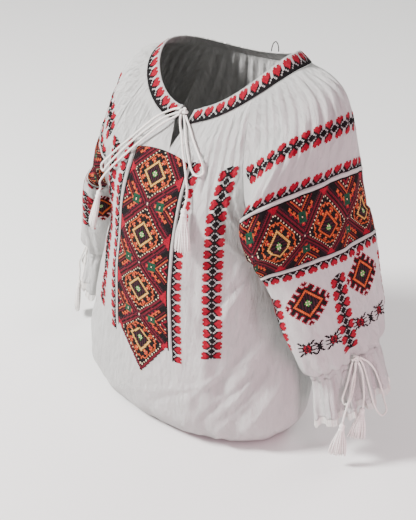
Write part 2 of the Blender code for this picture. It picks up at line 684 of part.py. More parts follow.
# The back edge's small black hanging loop
HANG_LOOP = (
    (0.0150, 0.1040, -0.0200), (0.0150, 0.1052, -0.0120), (0.0170, 0.1056, -0.0050),
    (0.0210, 0.1058, -0.0015), (0.0250, 0.1056, -0.0050), (0.0270, 0.1052, -0.0120),
    (0.0270, 0.1040, -0.0200),
)


def resample(path, step):
    path = np.array(path, float)
    t = np.arange(len(path))
    rows = [tuple([a]) + tuple(p) for a, p in zip(t, path)]
    fine = np.array([curve(rows, x) for x in np.linspace(0, len(path) - 1, 12 * len(path))])
    total = line_length(fine)
    return along(fine, np.linspace(0, total, max(3, int(round(total / step)) + 1)))[0]


def clear_of(path, centre, axes, margin):
    """Cut a fine path back to where it leaves the knot, at both ends if it returns."""
    fine = resample(path, 0.0004)
    rel = (fine - np.array(centre)) @ np.array(axes[0]).T
    out = np.linalg.norm(rel / (np.array(axes[1]) + margin), axis=1) > 1.0
    inside = np.where(~out)[0]
    mid_i = len(fine) // 2
    lo = max([k for k in inside if k < mid_i], default=-1) + 1
    hi = min([k for k in inside if k > mid_i], default=len(fine))
    return fine[lo:hi]


def cord(name, path, radius=CORD_R, kind="cord", step=0.0096):
    pts = resample(np.vstack([path[:-3:6], path[-1:]]) if len(path) > 60 else path, step)
    data = bpy.data.curves.new(name, "CURVE")
    data.dimensions = "3D"
    data.bevel_depth = radius
    data.bevel_resolution = 2
    data.use_fill_caps = True
    spline = data.splines.new("POLY")
    spline.points.add(len(pts) - 1)
    for k, p in enumerate(pts):
        spline.points[k].co = (*p, 1.0)
    colour, rough = COLOURS[kind]
    data.materials.append(material(name, colour, rough))
    obj = bpy.data.objects.new(name, data)
    bpy.context.scene.collection.objects.link(obj)
    return pts


def frame_of(normal, down):
    n = unit(np.array(normal, float))
    d = np.array(down, float)
    d = unit(d - n * np.dot(d, n))
    return np.array((np.cross(n, d), n, d))


def knot(name, centre, axes):
    """A flat, rounded knot of five latitude rings, lumpy where its turns cross."""
    bm = bmesh.new()
    bmesh.ops.create_uvsphere(bm, u_segments=8, v_segments=6, radius=1.0)
    for v in bm.verts:
        a = math.atan2(v.co.y, v.co.x)
        lump = 1 + 0.05 * math.cos(3 * a + 2.2 * v.co.z)
        q = np.array(v.co) * np.array(axes[1]) * lump
        v.co = Vector(np.array(centre) + np.array(axes[0]).T @ q)
    add_object(name, bm, "cord")


def tassel(name, top, axes, length, half_w, half_d, bend=0.0):
    """A bound head whose underside runs out into separate locks of yarn."""
    side, out, down = axes
    bm = bmesh.new()
    top = np.array(top, float)

    def at(s, o, d):
        return bm.verts.new(top + side * s + out * o + down * d)

    angles = [2 * math.pi * (k + 0.5) / 8 for k in range(8)]
    profile = ((0.0000, 0.0020), (0.0030, 0.0044), (0.0070, 0.0040), (0.0100, 0.0050))
    rings = [[at(r * math.cos(a), r * 0.85 * math.sin(a), d) for a in angles]
             for d, r in profile]
    bm.faces.new(rings[0])
    for a, b in zip(rings, rings[1:]):
        for k in range(8):
            bm.faces.new([a[k], a[(k + 1) % 8], b[(k + 1) % 8], b[k]])
    d0, r0 = profile[-1]
    inner = [at(r0 * 0.5 * math.cos(a), r0 * 0.425 * math.sin(a), d0) for a in angles]
    centre = at(0, 0, d0)
    cells = [[rings[-1][k], rings[-1][(k + 1) % 8], inner[(k + 1) % 8], inner[k]]
             for k in range(8)]
    cells += [[inner[k], inner[(k + 1) % 8], centre] for k in range(8)]
    for n, cell in enumerate(cells):
        if n >= 8 and n % 2:
            bm.faces.new(cell)
            continue
        pts = np.array([(np.array(v.co) - top) @ np.array(axes).T for v in cell])
        c = pts.mean(axis=0)
        spread = 1 + 0.06 * math.sin(2.1 * n)
        levels = ((0.0, 1.0, 1.0, 1.0), (0.45, 1.9, 1.05, 1.35), (1.0, half_w / r0, half_d / r0, 1.7))
        if len(cell) == 3:
            levels = (levels[0], levels[2])
        previous = cell
        for level, ks, ko, kw in levels:
            reach = level * (length - d0) * (0.97 + 0.03 * math.cos(1.7 * n))
            new = []
            for p in pts:
                q = c + (p - c) * 0.80 * (kw, min(kw, ko), 1)
                mid_c = c * (ks - 1, ko - 1, 0) * (spread if level else 1)
                q = q + mid_c
                new.append(at(q[0], q[1] + bend * level * level, d0 + reach))
            for k in range(len(cell)):
                bm.faces.new([previous[k], previous[(k + 1) % len(cell)],
                              new[(k + 1) % len(cell)], new[k]])
            previous = new
        bm.faces.new(previous)
    add_object(name, bm, "tassel")


KNOT_AXES = (0.0065, 0.0036, 0.0055)
KNOT_GAP = 0.0006
neck_axes = (frame_of((0.25, -0.70, 0.65), (0.2, -0.3, -1)), KNOT_AXES)
knot("neck_knot", NECK_KNOT, neck_axes)
for name, path in (("neck_loop_left", NECK_LOOP_LEFT), ("neck_loop_right", NECK_LOOP_RIGHT)):
    cord(name, clear_of(path, NECK_KNOT, neck_axes, KNOT_GAP))
for side, path, top, out, down, length in (
        ("left", NECK_END_LEFT, (-0.1090, -0.1205, -0.2030),
         (-0.55, -0.82, 0.15), (-0.30, -0.15, -1), 0.066),
        ("right", NECK_END_RIGHT, (0.0640, -0.1350, -0.1575),
         (0.25, -0.95, 0.20), (0.12, -0.12, -1), 0.064)):
    axes = frame_of(out, down)
    path = tuple(path) + (tuple(np.array(top) - axes[2] * SEAM * 2.5),)
    cord("neck_end_" + side, clear_of(path, NECK_KNOT, neck_axes, KNOT_GAP))
    tassel("neck_tassel_" + side, top, axes, length, 0.0135, 0.0055)


def other_wrist(path):
    """A path about the wearer's left wrist carried over to the right one."""
    path = np.array(path, float)
    return (path - WRIST_L) * (-1, 1, 1) + WRIST_R + (-0.003, -0.003, 0)


WRIST_L = left_p[-1, :-1].mean(axis=0)
WRIST_R = right_p[-1, :-1].mean(axis=0)
for side in ("left", "right"):
    sx = 1 if side == "left" else -1
    move = (lambda p: np.array(p, float)) if side == "left" else other_wrist
    centre = move([CUFF_KNOT])[0]
    axes = (frame_of((sx * 0.75, -0.60, -0.10), (0, 0, -1)), KNOT_AXES)
    knot("cuff_knot_" + side, centre, axes)
    for tag, path in (("loop_a_", CUFF_LOOP_A), ("loop_b_", CUFF_LOOP_B)):
        cord("cuff_" + tag + side, clear_of(move(path), centre, axes, KNOT_GAP))
    for tag, path, lean in (("a_", CUFF_END_A, (sx * -0.10, 0.02, -1)),
                            ("b_", CUFF_END_B, (sx * -0.05, -0.06, -1))):
        path = move(path)
        top = path[-1] + np.array((0, 0, -0.0040))
        tassel_axes = frame_of((sx * 0.60, -0.78, 0.10), lean)
        path = np.vstack([path, top - tassel_axes[2] * SEAM * 2.5])
        cord("cuff_end_" + tag + side, clear_of(path, centre, axes, KNOT_GAP))
        tassel("cuff_tassel_" + tag + side, top, tassel_axes, 0.056, 0.0145, 0.0055)
cord("hanging_loop", HANG_LOOP, 0.0009, "black", 0.005)
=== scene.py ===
# %% Start
import math

import bmesh
import bpy
import numpy as np
from mathutils import Matrix, Vector


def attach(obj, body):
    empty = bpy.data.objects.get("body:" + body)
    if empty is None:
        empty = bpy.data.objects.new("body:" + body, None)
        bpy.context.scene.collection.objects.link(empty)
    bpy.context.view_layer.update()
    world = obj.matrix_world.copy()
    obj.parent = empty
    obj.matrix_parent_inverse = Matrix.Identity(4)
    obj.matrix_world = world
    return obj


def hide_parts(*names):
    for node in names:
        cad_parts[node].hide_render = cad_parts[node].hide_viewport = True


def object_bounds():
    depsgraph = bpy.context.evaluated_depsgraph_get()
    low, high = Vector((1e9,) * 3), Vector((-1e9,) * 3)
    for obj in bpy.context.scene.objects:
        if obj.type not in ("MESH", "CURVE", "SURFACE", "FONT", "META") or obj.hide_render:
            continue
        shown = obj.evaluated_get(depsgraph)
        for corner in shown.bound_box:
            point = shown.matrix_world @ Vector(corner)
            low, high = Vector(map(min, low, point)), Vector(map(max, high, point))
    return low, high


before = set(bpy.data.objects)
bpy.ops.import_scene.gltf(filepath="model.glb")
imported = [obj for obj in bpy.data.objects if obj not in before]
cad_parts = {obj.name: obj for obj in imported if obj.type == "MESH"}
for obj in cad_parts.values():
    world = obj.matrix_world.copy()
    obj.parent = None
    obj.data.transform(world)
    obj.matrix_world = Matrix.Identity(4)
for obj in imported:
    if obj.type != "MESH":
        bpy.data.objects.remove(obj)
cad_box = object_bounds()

# %% [markdown]
# A gathered folk blouse, worn and tied. The cloth is a thin shell on the same lines as the
# solids; the cross-stitch, the puffed seams, the lace, the cords and the tassels lie on it.
# Metres, +Z up, the front faces -Y, the wearer's left is +X.

# %% [markdown]
# Camera first, because the cords are judged against what it sees. A long lens from above
# and from the wearer's left, tipped a little, gives the photograph's angle.

# %% Camera
AIM = Vector((0.0, 0.0, -0.328))
AZ, EL, ROLL, FAR = math.radians(39), math.radians(32), math.radians(2.5), 2.0
back = Vector((math.sin(AZ) * math.cos(EL), -math.cos(AZ) * math.cos(EL), math.sin(EL)))
right = Vector((math.cos(AZ), math.sin(AZ), 0.0))
up = back.cross(right)
r2 = right * math.cos(ROLL) + up * math.sin(ROLL)
u2 = up * math.cos(ROLL) - right * math.sin(ROLL)
cam_data = bpy.data.cameras.new("camera")
cam_data.sensor_fit = "HORIZONTAL"
cam_data.sensor_width = 36.0
cam_data.lens = 36.0 * 1330 / 416
camera = bpy.data.objects.new("camera", cam_data)
bpy.context.scene.collection.objects.link(camera)
turn = Matrix((r2, u2, back)).transposed().to_4x4()
camera.matrix_world = Matrix.Translation(AIM + back * FAR) @ turn
bpy.context.scene.camera = camera
print("camera", [round(x, 3) for x in camera.location])

# %% [markdown]
# One wide soft key from the front, a rosy bounce on the wearer's left and a cooler fill.
# The floor and the sky are pale and plain.


# %% Light and floor
def softbox(name, place, size, power, colour):
    data = bpy.data.lights.new(name, "AREA")
    data.shape = "DISK"
    data.size = size
    data.energy = power
    data.color = colour
    lamp = bpy.data.objects.new(name, data)
    bpy.context.scene.collection.objects.link(lamp)
    place = Vector(place)
    lamp.matrix_world = (Matrix.Translation(place)
                         @ (AIM - place).to_track_quat("-Z", "Y").to_matrix().to_4x4())


softbox("key", (-1.2, -1.5, 1.3), 0.55, 190, (1.0, 0.99, 0.975))
softbox("rose", (1.9, -0.5, 0.0), 0.9, 30, (1.0, 0.52, 0.66))
softbox("fill", (0.5, 1.7, 1.4), 1.4, 34, (0.92, 0.98, 0.95))
world = bpy.data.worlds.new("studio")
world.use_nodes = True
world.node_tree.nodes["Background"].inputs["Color"].default_value = (0.93, 0.93, 0.92, 1)
world.node_tree.nodes["Background"].inputs["Strength"].default_value = 0.60
bpy.context.scene.world = world


# %% [markdown]
# Materials are small node trees. A wire is one socket with the usual sums on it, so a
# pattern reads as the formula that it is.

# %% Shader wires
class Wire:
    def __init__(self, made, socket):
        self.made, self.socket = made, socket

    def math(self, op, *others):
        node = self.made.tree.nodes.new("ShaderNodeMath")
        node.operation = op
        for k, x in enumerate((self,) + others):
            self.made.feed(node.inputs[k], x)
        return Wire(self.made, node.outputs[0])

    def __add__(self, o):
        return self.math("ADD", o)

    def __sub__(self, o):
        return self.math("SUBTRACT", o)

    def __mul__(self, o):
        return self.math("MULTIPLY", o)

    def step(self, low, high):
        node = self.made.node("ShaderNodeMapRange", {"interpolation_type": "SMOOTHSTEP"},
                              {0: self, 1: low, 2: high})
        return Wire(self.made, node.outputs[0])


class Made:
    """A new material with its Principled shader."""

    def __init__(self, name, colour, rough, **more):
        self.mat = bpy.data.materials.new(name)
        self.mat.use_nodes = True
        self.tree = self.mat.node_tree
        self.shader = self.tree.nodes["Principled BSDF"]
        self.set("Base Color", (*colour, 1.0))
        self.set("Roughness", rough)
        for key, value in more.items():
            self.set(key.replace("_", " "), value)

    def set(self, name, value):
        self.feed(self.shader.inputs[name], value)

    def feed(self, socket, value):
        if isinstance(value, Wire):
            self.tree.links.new(value.socket, socket)
        else:
            socket.default_value = value

    def node(self, kind, settings=None, inputs=None):
        node = self.tree.nodes.new(kind)
        for key, value in (settings or {}).items():
            setattr(node, key, value)
        for key, value in (inputs or {}).items():
            self.feed(node.inputs[key], value)
        return node

    def coords(self, which="UV"):
        if which == "Object":
            return Wire(self, self.node("ShaderNodeTexCoord").outputs["Object"])
        return Wire(self, self.node("ShaderNodeUVMap").outputs[0])

    def stretch(self, vector, x, y, z=1.0):
        node = self.node("ShaderNodeVectorMath", {"operation": "MULTIPLY"},
                         {0: vector, 1: (x, y, z)})
        return Wire(self, node.outputs[0])

    def part(self, vector, axis):
        node = self.node("ShaderNodeSeparateXYZ", None, {0: vector})
        return Wire(self, node.outputs[axis])

    def noise(self, vector, scale, detail=3.0, rough=0.55):
        node = self.node("ShaderNodeTexNoise", None,
                         {"Vector": vector, "Scale": scale, "Detail": detail,
                          "Roughness": rough})
        return Wire(self, node.outputs[0])

    def mix(self, factor, a, b):
        node = self.node("ShaderNodeMix", {"data_type": "RGBA"})
        self.feed(node.inputs[0], factor)
        self.feed(node.inputs[6], (*a, 1.0) if isinstance(a, tuple) else a)
        self.feed(node.inputs[7], (*b, 1.0) if isinstance(b, tuple) else b)
        return Wire(self, node.outputs[2])

    def bump(self, height, distance, strength=1.0):
        node = self.node("ShaderNodeBump", None,
                         {"Strength": strength, "Distance": distance, "Height": height})
        self.set("Normal", Wire(self, node.outputs[0]))


# %% [markdown]
# Crepe cotton: an off-white plain weave whose threads draw up into fine upright crinkles.
# The weave and the crinkle follow the cut cloth, so they are drawn in its own flat metres.

# %% Cloth materials
def cotton(name, tint=(0.84, 0.83, 0.815), crinkle=1.0):
    m = Made(name, tint, 0.88, Specular_IOR_Level=0.2)
    uv = m.coords()
    wide = m.noise(m.stretch(uv, 170, 48), 1.0, 4.0, 0.60)
    fine = m.noise(m.stretch(uv, 900, 380), 1.0, 2.0, 0.5)
    soft = m.noise(m.stretch(uv, 62, 26), 1.0, 2.0, 0.5)
    x, y = m.part(uv, 0), m.part(uv, 1)
    weave = (x * 7800.0).math("SINE") * (y * 7800.0).math("SINE")
    height = wide * (1.0 * crinkle) + fine * 0.35 + soft * (1.2 * crinkle) + weave * 0.035
    m.bump(height, 0.011, 1.0)
    # Painted shade: the colour drops to 0.76 of the tint where the crinkle height is low, in the crinkles'
    # hollows, and rises a little on their crests.
    dark = (wide * 0.6 + soft * 0.6 - 0.25).math("MINIMUM", 1.0).math("MAXIMUM", 0.0)
    painted_shade_tint = tuple(c * 0.76 for c in tint)
    m.set("Base Color", m.mix(dark, painted_shade_tint, tuple(min(1, c * 1.06) for c in tint)))
    return m.mat


COTTON = cotton("crepe_cotton")
PUFF = cotton("puffed_strip", (0.86, 0.84, 0.81), 0.35)


# %% [markdown]
# Embroidery floss: each stitch is two crossed strands, a low pyramid in the mesh and two
# rounded bars in the bump. Colours vary a little along the skein.

# %% Thread materials
def floss(name, colour, rough=0.62):
    m = Made(name, colour, rough, Specular_IOR_Level=0.12)
    uv = m.coords()
    x, y = m.part(uv, 0), m.part(uv, 1)
    u = x.math("FRACT") - 0.5
    v = y.math("FRACT") - 0.5
    one = ((u - v).math("ABSOLUTE") * -5.0 + 1.0).math("MAXIMUM", 0.0)
    two = ((u + v).math("ABSOLUTE") * -5.0 + 0.8).math("MAXIMUM", 0.0)
    m.bump(one.math("MAXIMUM", two).math("SQRT"), 0.00035, 0.9)
    tone = m.noise(uv, 0.55, 2.0)
    m.set("Base Color", m.mix(tone.step(0.3, 0.7), tuple(c * 0.72 for c in colour),
                              tuple(min(1, c * 1.18 + 0.004) for c in colour)))
    return m.mat


THREADS = "RKMDOYGBC"
FLOSS = [floss("floss_crimson", (0.28, 0.0008, 0.016)),
         floss("floss_black", (0.0045, 0.0035, 0.0042), 0.8),
         floss("floss_maroon", (0.038, 0.004, 0.013)),
         floss("floss_wine", (0.125, 0.002, 0.012)),
         floss("floss_orange", (0.50, 0.078, 0.017)),
         floss("floss_straw", (0.60, 0.33, 0.08)),
         floss("floss_green", (0.004, 0.050, 0.024)),
         floss("floss_leaf", (0.06, 0.30, 0.05)),
         floss("floss_cream", (0.70, 0.58, 0.38))]
print("threads", len(FLOSS))

# %% [markdown]
# The cut of the blouse as worn: tables of seams, centre lines and sleeve rings, row by row
# from the neck (0) past the armhole (1) to the hem or wrist (2). They are the solids' own.

# %% Tables
SEAM = 0.0003
NECK_A, NECK_B, NECK_Y = 0.122, 0.097, 0.014
NECK_FRONT_Z, NECK_BACK_Z = -0.066, -0.032
TILT, SHIFT = 0.16, 0.009
PHI_FRONT, PHI_BACK = math.radians(50), math.radians(135)
BAND_H, BAND_LEAN, BAND_LIFT = 0.0170, 0.0165, 0.0010
SLIT_HALF, PANEL_HALF = 0.011, 0.0525
WRAP, WRAP_WAY, SLEEVE_RISE = (0.038, 0.003), (-0.35, -0.90, 0.0), 0.0085
CASING_H, LACE_H, CORD_R = 0.010, 0.011, 0.0016
FRONT_COLS, BACK_COLS, SLEEVE_COLS = 32, 26, 36
NONE = (None, None, None)
SEAM_FRONT = ((0.00, *NONE), (0.25, 0.1100, -0.0800, -0.072), (0.50, 0.1210, -0.0930, -0.122),
              (0.75, 0.1290, -0.0790, -0.180), (1.00, 0.1500, -0.0020, -0.235))
SEAM_BACK = ((0.00, *NONE), (0.25, 0.110, 0.088, -0.060), (0.50, 0.134, 0.086, -0.118),
             (0.75, 0.144, 0.060, -0.180), (1.00, 0.150, -0.002, -0.235))
SIDE = ((1.00, 0.150, -0.002, -0.235), (1.20, 0.154, -0.003, -0.291),
        (1.40, 0.166, -0.005, -0.356), (1.60, 0.181, -0.007, -0.421),
        (1.80, 0.195, -0.009, -0.480), (1.92, 0.192, -0.010, -0.526),
        (2.00, 0.172, -0.010, -0.554))
MID_FRONT = ((0.00, None, None), (0.21, -0.104, -0.098), (0.48, -0.124, -0.146),
             (0.75, -0.138, -0.197), (1.00, -0.147, -0.250), (1.20, -0.150, -0.302),
             (1.40, -0.150, -0.362), (1.60, -0.149, -0.425), (1.80, -0.152, -0.482),
             (1.92, -0.147, -0.521), (2.00, -0.127, -0.549))
MID_BACK = ((0.00, None, None), (0.25, 0.122, -0.075), (0.50, 0.134, -0.125),
            (0.75, 0.137, -0.180), (1.00, 0.134, -0.235), (1.20, 0.126, -0.293),
            (1.40, 0.122, -0.357), (1.60, 0.128, -0.422), (1.80, 0.134, -0.484),
            (1.92, 0.127, -0.523), (2.00, 0.104, -0.549))
TOP_LEFT = ((0.00, *NONE), (0.25, 0.180, 0.006, -0.018), (0.50, 0.207, -0.009, -0.062),
            (0.75, 0.218, -0.020, -0.122), (1.00, 0.227, -0.028, -0.185))
TOP_RIGHT = ((0.00, *NONE), (0.25, 0.160, 0.014, -0.010), (0.50, 0.182, 0.014, -0.045),
             (0.75, 0.187, 0.014, -0.104), (1.00, 0.191, 0.014, -0.168))
TUBE_LEFT = (
    (1.00, 0.1970, -0.015, -0.210, 0.0300, -0.013, 0.0250, 0.018, 0.090, 0.006),
    (1.28, 0.2050, -0.009, -0.249, 0.0320, -0.018, 0.0165, 0.024, 0.083, 0.012),
    (1.50, 0.2210, -0.003, -0.305, 0.0350, -0.020, 0.0150, 0.025, 0.079, 0.013),
    (1.70, 0.2340, 0.006, -0.350, 0.0350, -0.020, 0.0140, 0.024, 0.072, 0.014),
    (1.88, 0.2420, 0.014, -0.381, 0.0320, -0.018, 0.0110, 0.022, 0.062, 0.017),
    (2.00, 0.2440, 0.020, -0.394, 0.0210, -0.012, 0.0070, 0.020, 0.050, 0.018))
TUBE_RIGHT = (
    (1.00, 0.1785, 0.006, -0.2015, 0.0125, 0.008, 0.0335, 0.000, 0.080, 0.000),
    (1.28, 0.1980, 0.012, -0.246, 0.0290, -0.002, 0.0180, 0.010, 0.085, 0.000),
    (1.50, 0.2110, 0.020, -0.306, 0.0330, -0.004, 0.0140, 0.014, 0.080, 0.006),
    (1.70, 0.2250, 0.030, -0.350, 0.0330, -0.004, 0.0120, 0.014, 0.073, 0.010),
    (1.88, 0.2360, 0.036, -0.386, 0.0300, -0.004, 0.0110, 0.012, 0.062, 0.012),
    (2.00, 0.2420, 0.040, -0.401, 0.0210, -0.002, 0.0080, 0.010, 0.050, 0.012))


# %% [markdown]
# Each row is a dense line across a panel. Smooth cubic pieces run through the tables.

# %% Row lines
def curve(rows, at, start=None):
    data = [tuple(r) for r in rows]
    if start is not None:
        data[0] = (data[0][0],) + tuple(start)
    data = np.array(data, float)
    t, p = data[:, 0], data[:, 1:]
    h = np.diff(t)
    d = np.diff(p, axis=0) / h[:, None]
    m = np.empty_like(p)
    m[0], m[-1] = d[0], d[-1]
    m[1:-1] = (d[:-1] * h[1:, None] + d[1:] * h[:-1, None]) / (h[:-1] + h[1:])[:, None]
    m[0] += (d[0] - m[1]) * 0.5
    m[-1] += (d[-1] - m[-2]) * 0.5
    at = min(max(at, t[0]), t[-1])
    i = int(min(max(np.searchsorted(t, at) - 1, 0), len(h) - 1))
    s = (at - t[i]) / h[i]
    a, b = p[i], p[i + 1]
    ma, mb = m[i] * h[i], m[i + 1] * h[i]
    return ((2 * s**3 - 3 * s**2 + 1) * a + (s**3 - 2 * s**2 + s) * ma
            + (3 * s**2 - 2 * s**3) * b + (s**3 - s**2) * mb)


def smooth(x):
    x = np.clip(x, 0.0, 1.0)
    return x * x * (3 - 2 * x)


def unit(v):
    return v / np.linalg.norm(v)


def settle(p, side=1):
    q = np.array(p, float)
    g = smooth((q[..., 2] + 0.40) / 0.35)
    q[..., 2] += TILT * side * q[..., 0] * g
    q[..., 0] += SHIFT * side * g
    return q


def neck(phi):
    c = math.cos(phi)
    z = NECK_FRONT_Z * c * c if c > 0 else NECK_BACK_Z * c * c
    return np.array((NECK_A * math.sin(phi), NECK_Y - NECK_B * c, z))


def torso_row(v, back, fine=160):
    seams, mids = (SEAM_BACK, MID_BACK) if back else (SEAM_FRONT, MID_FRONT)
    phi_n = math.pi - PHI_BACK if back else PHI_FRONT
    ring = neck(PHI_BACK if back else PHI_FRONT)
    centre = neck(math.pi if back else 0.0)
    e = curve(seams, v, ring) if v <= 1.0 else curve(SIDE, v)
    m = curve(mids, v, centre[1:])
    big = phi_n + (math.pi / 2 - phi_n) * smooth(v) ** 1.8
    a = np.linspace(-1, 1, 2 * fine + 1) * big
    c, ce = np.cos(a), math.cos(big)
    return np.stack([e[0] * np.sin(a) / math.sin(big),
                     e[1] + (m[0] - e[1]) * (c - ce) / (1 - ce),
                     e[2] + (m[1] - e[2]) * (c * c - ce * ce) / (1 - ce * ce)], 1)


def measure(line):
    return np.concatenate([[0], np.cumsum(np.linalg.norm(np.diff(line, axis=0), axis=1))])


def along(line, where):
    d = measure(line)
    return np.stack([np.interp(where, d, line[:, k]) for k in range(3)], 1)


def stand_off(line, v):
    rise = SLEEVE_RISE * smooth((v - 0.30) / 0.35) * (1 - smooth((v - 1.08) / 0.42))
    tip = math.radians(60) * (1 - smooth((v - 0.25) / 0.7))
    for part, sy in ((line, -1), (line[::-1], 1)):
        t = np.minimum(measure(part), 0.11)
        shape = (1 - np.exp(-t / 0.012)) * (1 - smooth(t / 0.11))
        part += np.outer(rise * shape, (math.cos(tip), sy * math.sin(tip), 0))
    return line


def sleeve_row(v, top, tube, fold, fine=160):
    u = np.linspace(-1, 1, 2 * fine + 1)
    if v >= 1.0:
        r = curve(tube, v)
        c, o, w = r[:3], r[3:6], r[6:9]
        a = u * math.pi
        flat = 0.10 * smooth((v - 1.0) / 0.3) * (1 - smooth((v - 1.8) / 0.2))
        cs = np.cos(a) * (1 + flat * (1 - np.abs(np.cos(a))))
        wrap = 0.55 * (1 - smooth((v - 1.00) / 0.42)) * fold
        pit = (np.array(SIDE[0][1:]) - (c - o)) * (1 - smooth((v - 1.0) / 0.30))
        lean = np.clip(1 + np.cos(a), 0, 1)
        lean = lean + (1 - lean) * smooth((v - 1.0) / 0.4)
        across = np.outer(np.sin(a), w)
        across[:, 0] *= lean
        line = (c + np.outer(cs, o) + across + np.outer(np.clip(-np.cos(a), 0, 1) ** 2, pit)
                + np.outer(np.clip(-np.sin(a), 0, 1) ** 2, np.array(WRAP_WAY) * wrap))
        return stand_off(line, v)
    sf = curve(SEAM_FRONT, v, neck(PHI_FRONT))
    sb = curve(SEAM_BACK, v, neck(PHI_BACK))
    mid = (PHI_FRONT + PHI_BACK) / 2
    o_top = curve(top, v, neck(mid))
    half = (PHI_BACK - PHI_FRONT) / 2
    psi = min(half + (math.pi - half) * smooth(0.15 + 0.85 * v) ** 1.5 * v, math.pi)
    m = (sf + sb) / 2
    o = (o_top - m) / (1 - math.cos(psi))
    a = u * psi
    wide = np.where(u < 0, 0.78 + 0.22 * v, 0.62 + 0.38 * v * v)
    across = np.outer(np.sin(a) * wide, np.array(tube[0][7:10]))
    across[:, 0] *= 1 - v + v * np.clip(1 + np.cos(a), 0, 1)
    line = o_top - o + np.outer(np.cos(a), o) + across
    ring = np.array([neck(mid + half * k) for k in u])
    ring = ring + np.outer((1 - u) / 2, sf - ring[0]) + np.outer((1 + u) / 2, sb - ring[-1])
    ring = ring + np.outer(1 - u * u, o_top - ring[len(u) // 2])
    line = line + np.outer((1 - u) / 2, sf - line[0]) + np.outer((1 + u) / 2, sb - line[-1])
    k = smooth(v / 0.6)
    wrap = smooth((v - 0.22) / 0.45) * (1 - 0.45 * smooth((v - 0.75) / 0.25)) * fold
    bulge = np.where(u < 0, np.sin(u * math.pi) ** 2, 0)
    line = ring * (1 - k) + line * k + np.outer(bulge, np.array(WRAP_WAY) * wrap)
    return stand_off(line, v)


# %% [markdown]
# Relief. Gathers hang from the neckband and fade over the chest, and the embroidered middle of
# the front lies flat. Folds are listed: row and side at both ends, width, height. A
# cloth simulation would need the body inside, so the relief is worked out instead.

# %% Gathers and folds
def wave(j, shift=0):
    sign = np.where((j + shift) % 2 > 0.5, 1.0, -1.0)
    return sign * (0.82 + 0.18 * np.sin(j * 2.3 + shift) + 0.12 * np.sin(j * 5.1))


def rolling(x, shift=0):
    j = np.floor(x)
    s = (1 - np.cos(math.pi * (x - j))) / 2
    return wave(j, shift) * (1 - s) + wave(j + 1, shift) * s


def gather_depth(v):
    return 0.0021 * smooth(v / 0.10) * (1 - smooth((v - 0.25) / 0.75))


FRONT_FOLDS = (
    (1.10, 0.95, 1.62, 0.50, 0.085, -0.0070), (1.30, 0.98, 1.85, 0.60, 0.080, -0.0075),
    (1.15, 0.62, 1.55, 0.42, 0.060, 0.0040), (1.20, -0.90, 1.75, -0.62, 0.090, -0.0040),
    (0.98, 0.80, 1.32, 0.44, 0.045, -0.0028), (1.42, 0.84, 1.70, 0.30, 0.050, 0.0030),
    (1.62, 0.50, 1.86, 0.05, 0.050, -0.0022), (1.70, 0.30, 1.93, -0.30, 0.060, 0.0020),
    (0.72, 0.70, 1.12, 0.56, 0.036, 0.0018), (0.78, 0.88, 1.25, 0.76, 0.040, -0.0022),
    (1.02, 0.36, 1.30, 0.33, 0.026, -0.0010), (0.80, -0.62, 1.40, -0.50, 0.045, -0.0020),
    (1.30, -0.74, 1.80, -0.40, 0.060, 0.0026), (1.60, -0.80, 1.95, -0.35, 0.070, -0.0028),
    (1.66, 0.86, 1.96, 0.62, 0.050, 0.0026), (0.50, 0.52, 0.80, 0.58, 0.030, 0.0012),
    (1.22, 0.88, 1.72, 0.34, 0.036, 0.0032), (1.34, 0.92, 1.84, 0.44, 0.034, -0.0030),
    (1.48, 0.90, 1.92, 0.52, 0.036, 0.0032), (1.16, -0.80, 1.60, -0.52, 0.036, 0.0022))
BACK_FOLDS = (
    (0.60, -0.30, 1.60, -0.44, 0.085, -0.0030), (0.70, 0.10, 1.90, 0.16, 0.080, 0.0032),
    (0.55, 0.55, 1.50, 0.48, 0.070, -0.0028), (1.20, -0.92, 1.80, -0.55, 0.080, -0.0040),
    (1.10, 0.94, 1.75, 0.60, 0.085, -0.0045), (1.40, 0.30, 1.95, 0.34, 0.060, 0.0025),
    (1.35, -0.20, 1.95, -0.14, 0.060, -0.0026), (1.50, -0.70, 1.98, -0.62, 0.055, 0.0028),
    (0.90, -0.75, 1.30, -0.62, 0.045, 0.0020), (0.95, 0.78, 1.35, 0.70, 0.045, 0.0018))
SLEEVE_FOLDS = (
    (0.62, -0.62, 1.02, -0.44, 0.050, -0.0016), (0.90, 0.30, 1.30, 0.42, 0.060, 0.0020),
    (1.15, -0.80, 1.60, -0.52, 0.070, -0.0036), (1.20, -0.48, 1.75, -0.40, 0.055, 0.0022),
    (1.30, -0.20, 1.85, -0.24, 0.045, -0.0022), (1.25, 0.12, 1.80, 0.18, 0.055, 0.0020),
    (1.32, 0.40, 1.90, 0.34, 0.050, -0.0024), (1.15, 0.80, 1.65, 0.58, 0.070, -0.0034),
    (1.50, 0.66, 1.95, 0.62, 0.050, 0.0024), (1.55, -0.66, 1.95, -0.70, 0.050, 0.0022))


def folded(v, x, folds):
    h = np.zeros(np.broadcast(v, x).shape)
    for v0, x0, v1, x1, half, height in folds:
        s = np.clip((v - v0) / (v1 - v0), 0, 1)
        dx = x - (x0 + (x1 - x0) * s) - 0.02 * np.sin(9 * v + 7 * x0)
        dv = np.maximum(np.maximum(v0 - v, v - v1), 0) / 0.22
        h += height * np.exp(-(dx / half) ** 2 * 2 - dv * dv * 2)
    return h


def crumple(side, down, seed):
    """Irregular crinkles in metres, narrow across the cloth and long down it."""
    rng = np.random.default_rng(seed)
    h = 0.0
    for wide, tall, high in ((0.011, 0.030, 0.00048), (0.026, 0.062, 0.00085)):
        g = rng.normal(0, 1, (40, 96))
        a, b = side / wide + 48 + 0.7 * np.sin(1.7 * down / tall), down / tall + 1
        j, i = np.floor(a).astype(int), np.floor(b).astype(int)
        fj, fi = smooth(a - j), smooth(b - i)
        h = h + high * ((g[i, j] * (1 - fj) + g[i, j + 1] * fj) * (1 - fi)
                        + (g[i + 1, j] * (1 - fj) + g[i + 1, j + 1] * fj) * fi)
    return h


